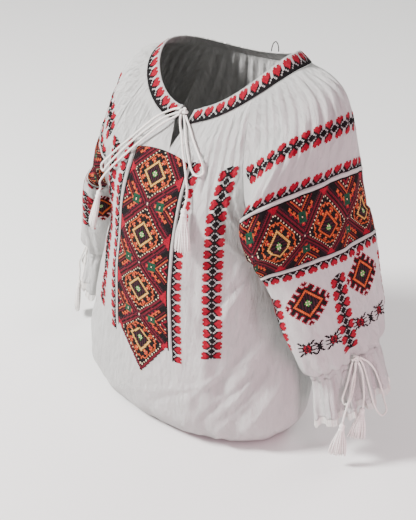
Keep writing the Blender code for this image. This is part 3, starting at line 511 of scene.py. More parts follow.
def grid_normals(p, ring_from=None):
    du = np.gradient(p, axis=1)
    if ring_from is not None:
        du[ring_from:, 0] = du[ring_from:, -1] = p[ring_from:, 1] - p[ring_from:, -2]
    n = np.cross(np.gradient(p, axis=0), du)
    return n / np.linalg.norm(n, axis=2, keepdims=True)


# %% [markdown]
# A cloth keeps its fine grid of points, so that a stitch or a ridge can be laid on it by
# row and by the distance sideways from the row's middle.

# %% Cloths
class Cloth:
    def __init__(self, rows, cols, base):
        self.v = np.linspace(0, 2, rows)
        lines = [base(v) for v in self.v]
        self.total = np.array([measure(l)[-1] for l in lines])
        self.t = np.linspace(0, 1, cols)
        self.p = np.array([along(l, w * self.t) for l, w in zip(lines, self.total)])
        middle = self.p[:, cols // 2]
        self.down = measure(middle)

    def at(self, v, s, h=0.0):
        """Points h above the cloth at row v and s metres sideways, with their normals."""
        v, s = np.broadcast_arrays(np.asarray(v, float), np.asarray(s, float))
        i = np.clip((v - self.v[0]) / (self.v[1] - self.v[0]), 0, len(self.v) - 1.001)
        t = np.clip(s / np.interp(v, self.v, self.total) + 0.5, 0, 1)
        j = np.clip(t * (len(self.t) - 1), 0, len(self.t) - 1.001)
        i0, j0 = i.astype(int), j.astype(int)
        fi, fj = (i - i0)[..., None], (j - j0)[..., None]

        def blend(a):
            return ((a[i0, j0] * (1 - fj) + a[i0, j0 + 1] * fj) * (1 - fi)
                    + (a[i0 + 1, j0] * (1 - fj) + a[i0 + 1, j0 + 1] * fj) * fi)

        n = blend(self.n)
        n = n / np.linalg.norm(n, axis=-1, keepdims=True)
        return blend(self.q) + n * np.asarray(h)[..., None], n

    def row_down(self, d):
        return np.interp(d, self.down, self.v)


def pull(q, rows):
    for j, k in ((0, 1), (-1, -2)):
        step = q[rows, k] - q[rows, j]
        q[rows, j] += step / np.linalg.norm(step, axis=1, keepdims=True) * 0.00004


def make_torso(is_back):
    c = Cloth(121 if is_back else 209, 131 if is_back else 181,
              lambda v: torso_row(v, is_back))
    c.p = settle(c.p)
    c.n0 = grid_normals(c.p)
    if is_back:
        c.p, c.n0 = c.p[:, ::-1], -grid_normals(c.p)[:, ::-1]
    V = c.v[:, None]
    x = np.broadcast_to((2 * c.t - 1)[None, :], c.p.shape[:2])
    if is_back:
        col = (x + 1) / 2 * BACK_COLS
        flat = 1.0
    else:
        s = np.abs(x) * c.total[:, None] / 2
        n = FRONT_COLS // 2
        outer = 5 + (s - PANEL_HALF) / (c.total[:, None] / 2 - PANEL_HALF) * (n - 5)
        k = np.where(s < PANEL_HALF, s / PANEL_HALF * 5, outer)
        col = n + np.sign(x) * k
        flat = smooth((k - 4.5) / 1.5)
    calm = smooth((V - 0.2) / 0.3)
    flat = flat * (1 - calm + calm * smooth((1 - np.abs(x)) / 0.2))
    d = gather_depth(V)
    h = d * flat * rolling(col, 3 if is_back else 0)
    h += d * 0.30 * flat * rolling(col * 2.63 + 0.4 * np.sin(6 * V), 5)
    if is_back:
        h += 0.003 * np.sin(3.1 * math.pi * x) * smooth((V - 0.9) / 0.5) \
            * smooth((1 - np.abs(x)) / 0.15)
        h += folded(V, x, BACK_FOLDS) * smooth((1 - np.abs(x)) / 0.12)
    else:
        h += folded(V, x, FRONT_FOLDS) * smooth((1 - np.abs(x)) / 0.12)
    side, down = np.broadcast_arrays(x * c.total[:, None] / 2, c.down[:, None])
    rest = 1.0 if is_back else 0.25 + 0.75 * smooth((np.abs(side) - 0.045) / 0.02)
    h += crumple(side, down, 11) * rest * smooth((1 - np.abs(x)) / 0.06) * smooth(V / 0.15)
    c.q = c.p + c.n0 * h[..., None]
    pull(c.q, slice(0, len(c.v)))
    return c


def keyhole(v, s):
    """How far the cloth beside the keyhole is drawn aside."""
    row = np.interp(v, (0, 0.05, 0.12, 0.21), (0, 1, 2, 3))
    w = SLIT_HALF * np.clip(1 - row / 3, 0, 1) ** 0.8
    return w * np.interp(np.abs(s), (0, 0.0105, 0.021, 0.0315), (1, 0.62, 0.22, 0))


def make_sleeve(top, tube, mirror):
    fold = WRAP[1 if mirror else 0]
    c = Cloth(161, 163, lambda v: sleeve_row(v, top, tube, fold))
    c.p = settle(c.p, -1 if mirror else 1)
    c.ring = int(np.searchsorted(c.v, 1.0 - 1e-9))
    n = grid_normals(c.p, c.ring)
    if np.sum(n[40, 81] * np.array((0.5, 0, 1.0))) < 0:
        n = -n
    V = c.v[:, None]
    u = np.broadcast_to((2 * c.t - 1)[None, :], c.p.shape[:2])
    col = (u + 1) / 2 * SLEEVE_COLS
    calm = smooth((V - 0.2) / 0.3)
    edge = smooth((1 - np.abs(u)) / (0.12 + 0.25 * calm))
    h = gather_depth(V) * 0.9 * rolling(col, 1) * np.where(V < 1, edge, 1.0)
    h += gather_depth(V) * 0.25 * rolling(col * 2.41 + 0.5 * np.sin(5 * V), 2) * edge
    h += 0.0022 * smooth((V - 1.62) / 0.3) * rolling(col % SLEEVE_COLS, 4)
    soft = smooth((V - 0.9) / 0.3) * (1 - smooth((V - 1.8) / 0.2))
    h += soft * 0.0045 * np.sin(3 * math.pi * u + 2.2 * V) * (1 - u * u)
    h += folded(V, u, SLEEVE_FOLDS) * smooth((1 - np.abs(u)) / 0.2)
    side, down = np.broadcast_arrays(u * c.total[:, None] / 2, c.down[:, None])
    h += crumple(side, down, 12) * smooth((1 - np.abs(u)) / 0.06) * smooth(V / 0.15) \
        * smooth((2 - V) / 0.1)
    c.q = c.p + n * h[..., None]
    c.q[c.ring:, -1] = c.q[c.ring:, 0]
    c.n0 = n
    if mirror:
        c.q, c.n0 = c.q * (-1, 1, 1), n * (-1, 1, 1)
    pull(c.q, slice(0, c.ring))
    return c


front, rear = make_torso(False), make_torso(True)
left = make_sleeve(TOP_LEFT, TUBE_LEFT, False)
right_arm = make_sleeve(TOP_RIGHT, TUBE_RIGHT, True)
shift = keyhole(front.v[:, None], (front.t[None, :] - 0.5) * front.total[:, None])
for c, ring in ((front, None), (rear, None), (left, left.ring), (right_arm, right_arm.ring)):
    c.n = grid_normals(c.q, ring)
    c.n *= np.sign(np.sum(c.n * c.n0, axis=2, keepdims=True))
front.q[..., 0] += np.where(front.t[None, :] > 0.5, 1, -1) * shift * (front.t[None, :] != 0.5)
print("cloth widths", [round(float(c.total.max()), 3) for c in (front, rear, left, right_arm)])


# %% [markdown]
# Every cloth piece starts as one flat grid that is moved onto its form, with its flat
# metres kept as UV, then thickened.

# %% Grid pieces
def piece(name, bm, mats, smooth_faces=True):
    mesh = bpy.data.meshes.new(name)
    bm.to_mesh(mesh)
    bm.free()
    for m in mats:
        mesh.materials.append(m)
    mesh.polygons.foreach_set("use_smooth", [smooth_faces] * len(mesh.polygons))
    obj = bpy.data.objects.new(name, mesh)
    bpy.context.scene.collection.objects.link(obj)
    return obj


def flat_grid(rows, cols):
    """A grid mesh and its vertices' row and column numbers."""
    bm = bmesh.new()
    bmesh.ops.create_grid(bm, x_segments=cols - 1, y_segments=rows - 1, size=0.5)
    bm.verts.ensure_lookup_table()
    bm.verts.index_update()
    co = np.array([v.co for v in bm.verts])
    j = np.rint((co[:, 0] + 0.5) * (cols - 1)).astype(int)
    i = np.rint((co[:, 1] + 0.5) * (rows - 1)).astype(int)
    return bm, i, j


def lay(bm, i, j, q, uv, n):
    """Move the grid onto points q, keep uv, and turn the faces to the side of n."""
    layer = bm.loops.layers.uv.new("flat")
    for v, a, b in zip(bm.verts, i, j):
        v.co = q[a, b]
    for f in bm.faces:
        for l in f.loops:
            k = l.vert.index
            l[layer].uv = uv[i[k], j[k]]
    bm.normal_update()
    f = bm.faces[:][len(bm.faces) // 2]
    a, b = i[f.verts[0].index], j[f.verts[0].index]
    if f.normal.dot(Vector(n[a, b])) < 0:
        bmesh.ops.reverse_faces(bm, faces=bm.faces)


def thicken(obj, thickness, even=False):
    mod = obj.modifiers.new("wall", "SOLIDIFY")
    mod.thickness = thickness
    mod.offset = -1.0
    mod.use_even_offset = even
    return obj


def cloth_piece(name, c, slit=None):
    rows, cols = c.q.shape[:2]
    bm, i, j = flat_grid(rows, cols)
    metres = np.stack(np.broadcast_arrays((c.t[None, :] - 0.5) * c.total[:, None],
                                          c.down[:, None]), 2)
    q = c.q
    lay(bm, i, j, q, metres, c.n)
    if slit is not None:
        last = int(np.searchsorted(c.v, slit))
        mid = cols // 2
        own = {v: (a, b) for v, a, b in zip(bm.verts, i, j)}
        cut = [e for e in bm.edges if all(own[v][1] == mid for v in e.verts)
               and min(own[v][0] for v in e.verts) < last]
        where = {v.co.copy().freeze(): own[v][0] for v in bm.verts if own[v][1] == mid}
        bmesh.ops.split_edges(bm, edges=cut)
        for v in bm.verts:
            row = where.get(v.co.copy().freeze())
            if row is not None and row < last and abs(v.co.x - q[row, mid][0]) < 1e-9:
                side = np.mean([f.calc_center_median().x for f in v.link_faces]) - v.co.x
                v.co.x += math.copysign(shift[row, mid], side)
    else:
        bmesh.ops.remove_doubles(bm, verts=bm.verts, dist=0.00002)
    return thicken(piece(name, bm, [COTTON]), 0.0008)


front_piece = cloth_piece("blouse_front", front, slit=0.21)
back_piece = cloth_piece("blouse_back", rear)
left_piece = cloth_piece("blouse_sleeve_left", left)
right_piece = cloth_piece("blouse_sleeve_right", right_arm)
print("cloth faces", [len(o.data.polygons) for o in (front_piece, back_piece, left_piece)])
on_cloth = {front_piece: [], back_piece: [], left_piece: [], right_piece: []}

# %% [markdown]
# Cross-stitch charts, nine stitches to the repeat and eight deep. A half tulip grows from a
# black line and two halves make a column. Letters name the thread, and a dot is bare cloth.
# A listed chart is short, and a rule of steps from the centre draws the diamonds.

# %% Charts
ST = 0.0019
TULIP = ("..RR.RR..",
         ".RRRRRRR.",
         ".RRRRRRR.",
         ".KRRRRRK.",
         ".KKRRRKK.",
         "K.KKRKK.K",
         "KK.KKK.KK",
         "KKKKKKKKK")
INSECT = ("KK.........KK",
          ".KK.K...K.KK.",
          "..KKKK.KKKK..",
          "....KRKRK....",
          "KKKKRRKRRKKKK",
          "...KRKKKRK...",
          "...KKRKRKK...",
          "KKKKRKKKRKKKK",
          "....KRKRK....",
          "..KKKK.KKKK..",
          ".KK.K...K.KK.",
          "KK.........KK")
GNAT = ("KK...KK",
        ".KK.KK.",
        "..KKK..",
        ".KKKKK.",
        "..KKK..",
        ".KKKKK.",
        "..KKK..",
        ".KK.KK.",
        "KK...KK")


def chart(rows):
    return np.array([[THREADS.find(x) for x in row] for row in rows])


def spread(motif, n):
    return np.concatenate([motif] * n, axis=1)


HALF = chart(TULIP)
DOUBLE = np.concatenate([HALF, HALF[::-1][1:]], axis=0)


def diamond(a, b, m, ring):
    """Thread of one stitch of the framed diamond; a, b are its steps from the centre."""
    n = abs(a - b)
    if m <= 2:
        return "C" if m == 2 and n == 0 else "B"
    if m <= 7:
        return "K" if m == 3 or a % 2 else "M"
    if m in (9, 10):
        return ring
    if m < 12:
        return "K"
    if m <= 16 and abs(n - 5) <= 2 and (m != 13 or n == 5):
        return "R" if (m, n) in ((14, 4), (14, 6), (15, 5)) else "Y" if m == 13 else "O"
    if n <= 11 and m == 18 or m in (15, 16, 17) and n in (11, 12):
        return "O"
    if m == 15 and n > 12:
        return "O"
    if m == 20:
        return "C" if a % 2 else "K"
    return {22: "D", 23: "D"}.get(m, "K")


def corner(k, f, e):
    """Thread between two diamonds: k steps from the side's middle, e in, f along."""
    if abs(e - 12) <= 3 and f <= 3:
        return "C" if abs(e - 12) + f == 0 else "K" if abs(e - 12) + f == 1 else "G"
    if f <= 11 and abs(k - 17 - (1 if (e - f) // 3 % 2 else -1)) <= 1:
        return "O" if k < 18 else "R"
    if k == 6:
        return "C" if f % 2 else "K"
    return {23: "D", 22: "D", 20: "M", 12: "D", 9: "O", 8: "D", 4: "D", 3: "R"}.get(k, "K")


def framed(a, y, half, deep, ring):
    """Diamond cloth: a steps from the line of centres, y of deep from a centre."""
    b = int(round(y * half / deep))
    m = a + b
    if a + half - b <= 2:
        return "C" if a + half - b == 0 else "M"
    if a >= half - 4 and b <= (a - half + 4) * 1.2:
        return "R"
    return diamond(a, b, m, ring) if m <= half else corner(2 * half + 1 - m, half - b, half - a)


# %% [markdown]
# Stitches: a grid with one cell each, bare cells deleted, colours by material, every cell
# raised to a low point as the crossed threads are. A printed picture would stay flat.

# %% Stitch pieces
def stitches(name, codes, place, lift=0.00028):
    rows, cols = codes.shape
    bm, i, j = flat_grid(rows + 1, cols + 1)
    cells = {}
    for f in bm.faces:
        c = f.calc_center_median()
        cells[f] = (int((c.y + 0.5) * rows), int((c.x + 0.5) * cols))
    bare = []
    for f, (r, k) in cells.items():
        if codes[r, k] < 0:
            bare.append(f)
        else:
            f.material_index = int(codes[r, k])
    R, C = np.meshgrid(np.arange(rows + 1), np.arange(cols + 1), indexing="ij")
    q, n = place(R.astype(float), C.astype(float), lift)
    uv = np.stack([C, R], 2).astype(float)
    lay(bm, i, j, q, uv, n)
    bmesh.ops.delete(bm, geom=bare, context="FACES")
    bmesh.ops.poke(bm, faces=bm.faces, offset=0.0003, center_mode="MEAN")
    obj = piece(name, bm, FLOSS, False)
    print(name, len(obj.data.polygons) // 4, "stitches")
    return obj


# The middle of the front: four diamonds down, between two puffed strips
CENTRES, JOINTS, TIP = (18, 66, 112, 155), (-6, 41, 89, 135, 186), 186
front_codes = np.full((TIP + 1, 55), -1)
for r in range(TIP + 1):
    k = min(range(4), key=lambda q: abs(r - CENTRES[q]))
    deep = (CENTRES[k] - JOINTS[k]) if r < CENTRES[k] else (JOINTS[k + 1] - CENTRES[k])
    y = abs(r - CENTRES[k])
    for c in range(55):
        a = abs(c - 27)
        if a >= 26:
            code = "K" if a == 26 and r < 158 else "."
        else:
            code = framed(a, min(y, deep), 24, deep, "Y")
            if k == 3 and r > CENTRES[3] and a + y * 24 / deep > 24.4:
                code = "."
        front_codes[r, c] = THREADS.find(code)


def offset(v):
    return np.interp(v, (0.2, 0.5, 0.9, 1.2, 1.45, 1.67), (-0.009, -0.011, -0.009, -0.006, 0, 0.004))


START = float(np.interp(0.235, front.v, front.down))


def place_front(r, c, lift):
    v = front.row_down(START + r * ST)
    q, n = front.at(v + 0.1 * ((c - 27) / 30.0) ** 2 * np.clip(1 - r / 40, 0, 1),
                    offset(v) + (c - 27.5) * ST, lift)
    return q, n


emb = stitches("stitch_front_panel", front_codes, place_front)
on_cloth[front_piece].append(emb)


def column(name, c, codes, v0, s_at):
    """Stitches in a column down the cloth; rows of the chart run sideways if turned."""
    start = float(np.interp(v0, c.v, c.down))

    def place(r, k, lift):
        v = c.row_down(start + r * ST)
        return c.at(v, s_at(v) + (k - codes.shape[1] / 2) * ST, lift)

    return stitches(name, codes, place)


down_half = HALF.T
tall = np.concatenate([down_half] * 18, axis=0)[:160]
on_cloth[front_piece].append(column(
    "stitch_border_left", front, tall[:, ::-1], 0.30, lambda v: offset(v) + PANEL_HALF + 0.0106))
on_cloth[front_piece].append(column(
    "stitch_border_right", front, tall, 0.28, lambda v: offset(v) - PANEL_HALF - 0.0106))
pair = np.concatenate([DOUBLE.T] * 16, axis=0)
for side, s0 in (("left", (0.108, 0.105, 0.101, 0.104, 0.108, 0.115)),
                 ("right", (-0.108, -0.105, -0.103, -0.104, -0.107, -0.112))):
    on_cloth[front_piece].append(column(
        "stitch_column_" + side, front, pair[:142], 0.39,
        lambda v, s0=s0: np.interp(v, (0.41, 0.55, 0.69, 0.93, 1.18, 1.40), s0)))


# %% [markdown]
# The sleeve: a double border over the shoulder, a wide band of diamonds between two puffed
# strips with half tulips outside, free diamonds, columns and insects towards the wrist.

# %% Sleeve stitches
COVER, RAISED = 0.97, {"left": 0.0, "right": 0.12}
BAND_TOP, BAND_LOW, PITCH, BAND_ROWS = 0.765, 1.20, 0.074, 51


def low_edge(u, up_by):
    """Row of the band's lower edge, which drops towards the back of the sleeve."""
    return BAND_LOW - up_by + 0.04 * smooth((u + 0.17) / 0.27)


def straight(c, v, top, low):
    """Sideways shift that keeps the middle column straight between two rows."""
    a, b = c.at(top, 0.0)[0], c.at(low, 0.0)[0]
    k = np.clip((v - top) / (low - top), 0, 1)[..., None]
    off = c.at(v, 0.0)[0] - (a + (b - a) * k)
    side = c.at(v, 0.006)[0] - c.at(v, -0.006)[0]
    side /= np.linalg.norm(side, axis=-1, keepdims=True)
    return -np.sum(off * side, axis=-1) * ((v > top) & (v < low))


def across(name, c, codes, v_top, v_low, wide=ST, even=None):
    """Stitches in a band across the sleeve, from the row v_top down to v_low."""
    rows, cols = codes.shape

    def place(r, k, lift):
        s = (k - cols / 2) * wide
        u = 2 * s / np.interp(v_top(0.0), c.v, c.total)
        v = v_top(u) + (v_low(u) - v_top(u)) * r / rows
        return c.at(v, s if even is None else s + straight(c, v, *even), lift)

    return stitches(name, codes, place)


def free_diamond():
    size = 37
    out = np.full((size, size), -1)
    for r in range(size):
        for c in range(size):
            x, y = c - 18, r - 18
            m = abs(x) + abs(y)
            p, q = sorted((abs(x + y), abs(x - y)))
            if m <= 10:
                out[r, c] = THREADS.find(diamond(abs(x), abs(y), m, "O"))
            elif q <= 12 or (q <= 17 and p <= 14 and (p + 2) % 8 < 4):
                out[r, c] = 1
    dark, red = out >= 0, np.zeros_like(out, bool)
    for dr, dc in ((0, 1), (1, 0), (0, -1), (-1, 0)):
        red |= np.roll(np.roll(dark, dr, 0), dc, 1)
    out[red & ~dark] = 0
    return out


def sleeve_work(tag, c, up_by):
    """All the stitches of one sleeve, raised by up_by rows."""
    def fit(v):
        return int(np.interp(v, c.v, c.total) * COVER / ST) - 3

    got = []
    v0, v1 = BAND_TOP - up_by, BAND_LOW - up_by
    width = fit(0.49 - up_by * 0.3)
    vb = 0.49 - up_by * 0.3
    high = len(DOUBLE) * ST / (np.interp(vb + 0.05, c.v, c.down) - np.interp(vb - 0.05, c.v, c.down)) * 0.1
    reps = width // 9 + 1
    got.append(across("stitch_shoulder_" + tag, c, spread(DOUBLE, reps)[:, :width],
                      lambda u: vb - high / 2, lambda u: vb + high / 2))
    # forty-eight stitches to each diamond of the band and fifty-one rows across it
    pitch = PITCH / 48
    width = int(fit(v0) * ST / pitch)
    band = np.full((BAND_ROWS, width), -1)
    for k in range(width):
        pos = (k + 0.5 - width / 2) * pitch + 0.0013 + PITCH * 20
        y = int(round(abs((pos / pitch + 24) % 48 - 24)))
        ring = "Y" if int(pos / PITCH + 0.5) % 2 else "O"
        for r in range(BAND_ROWS):
            band[r, k] = THREADS.find(framed(min(abs(r - 25), 24), y, 24, 24, ring))
    band[[0, -1]] = 1
    low = lambda u: low_edge(u, up_by)
    got.append(across("stitch_band_" + tag, c, band, lambda u: v0 + 0.012,
                      lambda u: low(u) - 0.012, pitch, (v0, v1 + 0.02)))
    width = fit(v0)
    per = (np.interp(v0 + 0.05, c.v, c.down) - np.interp(v0 - 0.05, c.v, c.down)) / 0.1
    tall = len(HALF) * ST / per
    reps = width // 9 + 1
    got.append(across("stitch_over_" + tag, c, spread(HALF, reps)[:, :width],
                      lambda u: v0 - 0.012 - tall, lambda u: v0 - 0.012))
    got.append(across("stitch_under_" + tag, c, spread(HALF[::-1], reps)[:, :width],
                      lambda u: low(u) + 0.012, lambda u: low(u) + 0.012 + tall))
    spots = [(1.41, s, free_diamond()) for s in (-0.128, -0.048, 0.0475, 0.128)]
    spots += [(1.655, s, chart(INSECT)) for s in (-0.0615, -0.0232, 0.0263, 0.0673)]
    spots += [(1.665, s, chart(GNAT)) for s in (-0.0445, 0.0465)]
    for n, (v, s, codes) in enumerate(spots):
        rows, cols = codes.shape
        if abs(s) + cols * ST / 2 > np.interp(v, c.v, c.total) / 2 - 0.004:
            continue
        start = float(np.interp(v - up_by * 0.5, c.v, c.down)) - rows * ST / 2

        def place(r, k, lift, s=s, start=start, cols=cols, c=c):
            vv = c.row_down(start + r * ST)
            return c.at(vv, s + (k - cols / 2) * ST, lift)

        got.append(stitches(f"stitch_spot_{tag}_{n}", codes, place))
    column_rows = int((np.interp(1.80, c.v, c.down) - np.interp(1.34, c.v, c.down)) / ST)
    for n, s in enumerate((-0.098, 0.002, 0.102)):
        if abs(s) + 0.02 > np.interp(1.4, c.v, c.total) / 2:
            continue
        got.append(column(f"stitch_arm_{tag}_{n}", c, np.concatenate([DOUBLE.T] * 9, axis=0)
                          [:column_rows if s == 0.002 else 45], 1.345 - up_by * 0.6,
                          lambda v, s=s: v * 0 + s))
    return got


on_cloth[left_piece] += sleeve_work("left", left, RAISED["left"])
on_cloth[right_piece] += sleeve_work("right", right_arm, RAISED["right"])


# %% [markdown]
# Puffed strips: narrow tucks left bare between two black lines, raised as half rounds.

# %% Ridges
def ridge(name, c, v, s, half=0.0021, high=0.0014, way="s"):
    """A half-round strip along rows v at side places s."""
    x = np.linspace(-1, 1, 9)
    v, s = np.asarray(v, float)[:, None], np.asarray(s, float)[:, None]
    h = high * np.sqrt(np.clip(1 - x * x, 0, 1))[None, :] * (1 + 0.06 * np.sin(160 * s + 90 * v))
    if way == "s":
        q, n = c.at(v + 0 * x, s + half * x, h + 0.0001)
    else:
        per = (c.down[-1] - c.down[0]) / 2.0
        q, n = c.at(v + half / per * x, s + 0 * x, h + 0.0001)
    rows, cols = q.shape[:2]
    bm, i, j = flat_grid(rows, cols)
    uv = np.stack(np.broadcast_arrays(x[None, :] * half, v * 0.3 + s), 2)
    lay(bm, i, j, q, uv, n)
    return piece(name, bm, [PUFF])


rows_v = np.linspace(0.27, 1.49, 150)
for tag, sx in (("left", 1), ("right", -1)):
    on_cloth[front_piece].append(ridge("tuck_front_" + tag, front, rows_v,
                                       offset(rows_v) + sx * (PANEL_HALF + 0.0003)))
for tag, c, p in (("left", left, left_piece), ("right", right_arm, right_piece)):
    v0 = BAND_TOP - RAISED[tag]
    half_w = np.interp(v0, c.v, c.total) / 2 - 0.003
    s = np.linspace(-half_w, half_w, 170)
    u = s / half_w
    on_cloth[p].append(ridge("tuck_top_" + tag, c, s * 0 + v0, s, way="v"))
    on_cloth[p].append(ridge("tuck_low_" + tag, c, low_edge(u, RAISED[tag]), s, way="v"))

# %% [markdown]
# The neckband is a doubled strip on the gathered edge, open at the front, stitched all round
# with tulips that stand on a black line along its lower edge.

# %% Neckband
mid = len(front.t) // 2
edge = [front.q[0, mid + 1:], left.q[0, 1:], rear.q[0, 1:], right_arm.q[0, ::-1][1:],
        front.q[0, 1:mid]]
ring_line = np.concatenate(edge)
band_total = measure(ring_line)[-1]
print("neckband", round(float(band_total), 3))


def band_at(w, t, lift=0.0):
    """Points of the band: w is the distance round, t from the lower edge 0 to the upper 1."""
    w, t = np.broadcast_arrays(np.asarray(w, float), np.asarray(t, float))
    r = along(ring_line, w.ravel()).reshape(w.shape + (3,))
    out = np.stack([(r[..., 0] - SHIFT) / NECK_A ** 2, (r[..., 1] - NECK_Y) / NECK_B ** 2,
                    np.zeros(w.shape)], -1)
    out /= np.linalg.norm(out, axis=-1, keepdims=True)
    p = r - out * (BAND_LEAN * t)[..., None]
    p[..., 2] += BAND_LIFT + (BAND_H - BAND_LIFT) * t
    n = out * BAND_H + np.array((0, 0, BAND_LEAN)) * np.clip(t, 0.15, 1)[..., None]
    n /= np.linalg.norm(n, axis=-1, keepdims=True)
    puff = 0.0006 * np.sin(math.pi * np.clip(t, 0, 1)) ** 0.7
    return p + n * (puff + lift)[..., None], n


def strip_piece(name, w, t, at, mats):
    W, T = np.meshgrid(w, t)
    q, n = at(W, T)
    bm, i, j = flat_grid(len(t), len(w))
    lay(bm, i, j, q, np.stack([W, T * 0.023], 2), n)
    return piece(name, bm, mats)


neckband = thicken(strip_piece("neckband_cloth", np.linspace(0.0, band_total, 330),
                               np.linspace(0, 1, 9), band_at, [COTTON]), 0.0021)
n_cols = int((band_total - 0.004) / (1.14 * ST))
band_codes = np.concatenate([np.full((1, n_cols), -1),
                             spread(HALF, n_cols // 9 + 1)[:, :n_cols],
                             np.full((1, n_cols), 1)], axis=0)


def place_band(r, k, lift):
    return band_at(0.002 + k * (band_total - 0.004) / n_cols, 1 - r / len(band_codes), lift)


band_stitches = stitches("stitch_neckband", band_codes, place_band)


# %% [markdown]
# Each wrist: a narrow casing for the tie, a gathered frill and an openwork lace edge. The lace
# is a grid whose cells are inset and cut out, because real holes look right from both sides.

# %% Cuffs
FRILL = ((0.00, 0.000, 1.00, 0.0010), (0.20, 0.014, 1.02, 0.0028), (0.45, 0.030, 1.05, 0.0048),
         (0.72, 0.048, 1.08, 0.0066), (1.00, 0.066, 1.11, 0.0080))


def ring_piece(name, q, n, uv_down, mats, thickness):
    q = np.concatenate([q, q[:, :1]], axis=1)
    n = np.concatenate([n, n[:, :1]], axis=1)
    w = measure(q[0])
    uv = np.stack(np.broadcast_arrays(w[None, :], np.asarray(uv_down)[:, None]), 2)
    bm, i, j = flat_grid(*q.shape[:2])
    lay(bm, i, j, q, uv, n)
    bmesh.ops.remove_doubles(bm, verts=bm.verts, dist=0.00002)
    return thicken(piece(name, bm, mats), thickness)


lace_m = Made("lace_thread", (0.84, 0.80, 0.76), 0.8, Sheen_Weight=0.1)
lace_uv = lace_m.coords()
lace_m.bump((lace_m.part(lace_uv, 0) * 4200.0).math("SINE")
            + (lace_m.part(lace_uv, 1) * 5200.0).math("SINE"), 0.0003, 0.6)
lace_m.set("Base Color", lace_m.mix(lace_m.noise(lace_uv, 900.0), (0.70, 0.66, 0.62),
                                    (0.90, 0.87, 0.83)))


def cuff(tag, c, hang):
    end = c.q[-1, :-1]
    nrm = c.n[-1, :-1]
    i70 = int(np.argmin(np.abs(c.v - 1.70)))
    axis = unit(c.q[-1, :-1].mean(axis=0) - c.q[i70, :-1].mean(axis=0))
    flatn = nrm - np.outer(nrm @ axis, axis)
    flatn /= np.linalg.norm(flatn, axis=1, keepdims=True)
    cols = len(end)
    a = np.arange(cols) * (2 * math.pi / cols)
    tuck = 0.0005 * rolling(np.arange(cols) * 60.0 / cols, 2)
    t = np.linspace(0, 1, 7)
    puff = 0.0009 * np.sin(math.pi * t)
    q = np.array([end + axis * (SEAM + (CASING_H - SEAM) * k)
                  + flatn * (tuck * (1 - 0.4 * math.sin(math.pi * k)) + b)[:, None]
                  for k, b in zip(t, puff)])
    casing = ring_piece("casing_" + tag, q, np.array([flatn] * len(t)), t * CASING_H,
                        [COTTON], 0.0009)
    base = end + axis * (CASING_H + SEAM)
    centre = base.mean(axis=0)
    sx = 1 if tag == "left" else -1
    fine = []
    ts = np.concatenate([np.linspace(0, 1, 25), 1 + np.linspace(0.0, 0.145, 6)[1:]])
    for k in ts:
        drop, flare, depth = curve(FRILL, min(k, 1.0))
        extra = 0.0
        if k > 1.0:
            grow = (k - 1.0) / 0.145
            extra, flare, depth = LACE_H * grow, flare * (1 + 0.03 * grow), depth * (1 + 0.06 * grow)
        g = smooth(k * 1.4)
        go = unit(axis * (1 - g) + hang * g)
        lobe = np.cos(a * 9 + 0.5 * np.sin(a * 2 + sx)) * depth * (0.85 + 0.3 * np.sin(a * 2 + 1.3))
        lobe = lobe + 0.0007 * np.sin(a * 31 + 1.7 * np.sin(3 * a)) * (1 - 0.6 * k) * smooth(k * 9)
        fine.append(centre + go * (drop + extra) + (base - centre) * flare + flatn * lobe[:, None])
    q = np.array(fine)
    du = np.roll(q, -1, axis=1) - np.roll(q, 1, axis=1)
    nn = np.cross(du, np.gradient(q, axis=0))
    nn /= np.linalg.norm(nn, axis=2, keepdims=True)
    nn *= np.sign(np.sum(nn[8] * flatn))
    frill = ring_piece("frill_cloth_" + tag, q[:25], nn[:25], ts[:25] * 0.066, [COTTON], 0.0007)
    # Lace: square meshes whose middles are cut out, with a scalloped outer edge
    n_lace, rows = 126, 5
    k = np.linspace(0, cols, n_lace + 1)[:-1]

    def ring_at(row):
        closed = np.concatenate([row, row[:1]])
        return np.stack([np.interp(k, np.arange(cols + 1), closed[:, x]) for x in range(3)], 1)

    lq = np.array([ring_at(q[r]) for r in range(24, 30)][:rows + 1])
    ln = np.array([ring_at(nn[r]) for r in range(24, 30)][:rows + 1])
    down = unit(q[-1].mean(axis=0) - q[20].mean(axis=0))
    lq[0] += down * SEAM
    lq[-1] += down[None, :] * (0.0002 - 0.0013 * (np.arange(n_lace) % 3 == 0))[:, None]
    lq = np.concatenate([lq, lq[:, :1]], axis=1)
    ln = np.concatenate([ln, ln[:, :1]], axis=1)
    w = np.arange(n_lace + 1) * 0.003
    bm, i, j = flat_grid(*lq.shape[:2])
    uv = np.stack(np.broadcast_arrays(w[None, :], np.arange(rows + 1)[:, None] * 0.0022), 2)
    lay(bm, i, j, lq, uv, ln)
    bmesh.ops.remove_doubles(bm, verts=bm.verts, dist=0.00002)
    made = bmesh.ops.inset_individual(bm, faces=bm.faces, thickness=0.00055, depth=0.0)
    rim = set(made["faces"])
    bmesh.ops.delete(bm, geom=[f for f in bm.faces if f not in rim], context="FACES")
    lace = thicken(piece("lace_edge_" + tag, bm, [lace_m.mat], False), 0.0007)
    return casing, frill, lace


cuffs = {"left": cuff("left", left, unit(np.array((0.24, 0.12, -1.0)))),
         "right": cuff("right", right_arm, unit(np.array((-0.16, 0.02, -1.0))))}
WRIST_L, WRIST_R = left.q[-1, :-1].mean(axis=0), right_arm.q[-1, :-1].mean(axis=0)
print("wrists", WRIST_L.round(4), WRIST_R.round(4))

# %% [markdown]
# Ties: a twisted cord drawn through the band and each casing, tied in a bow with two loops
# and two ends. Each path runs from its knot, and its points are the solids' own. A cord that
# hangs free could be simulated, but the photograph shows where each one lies.

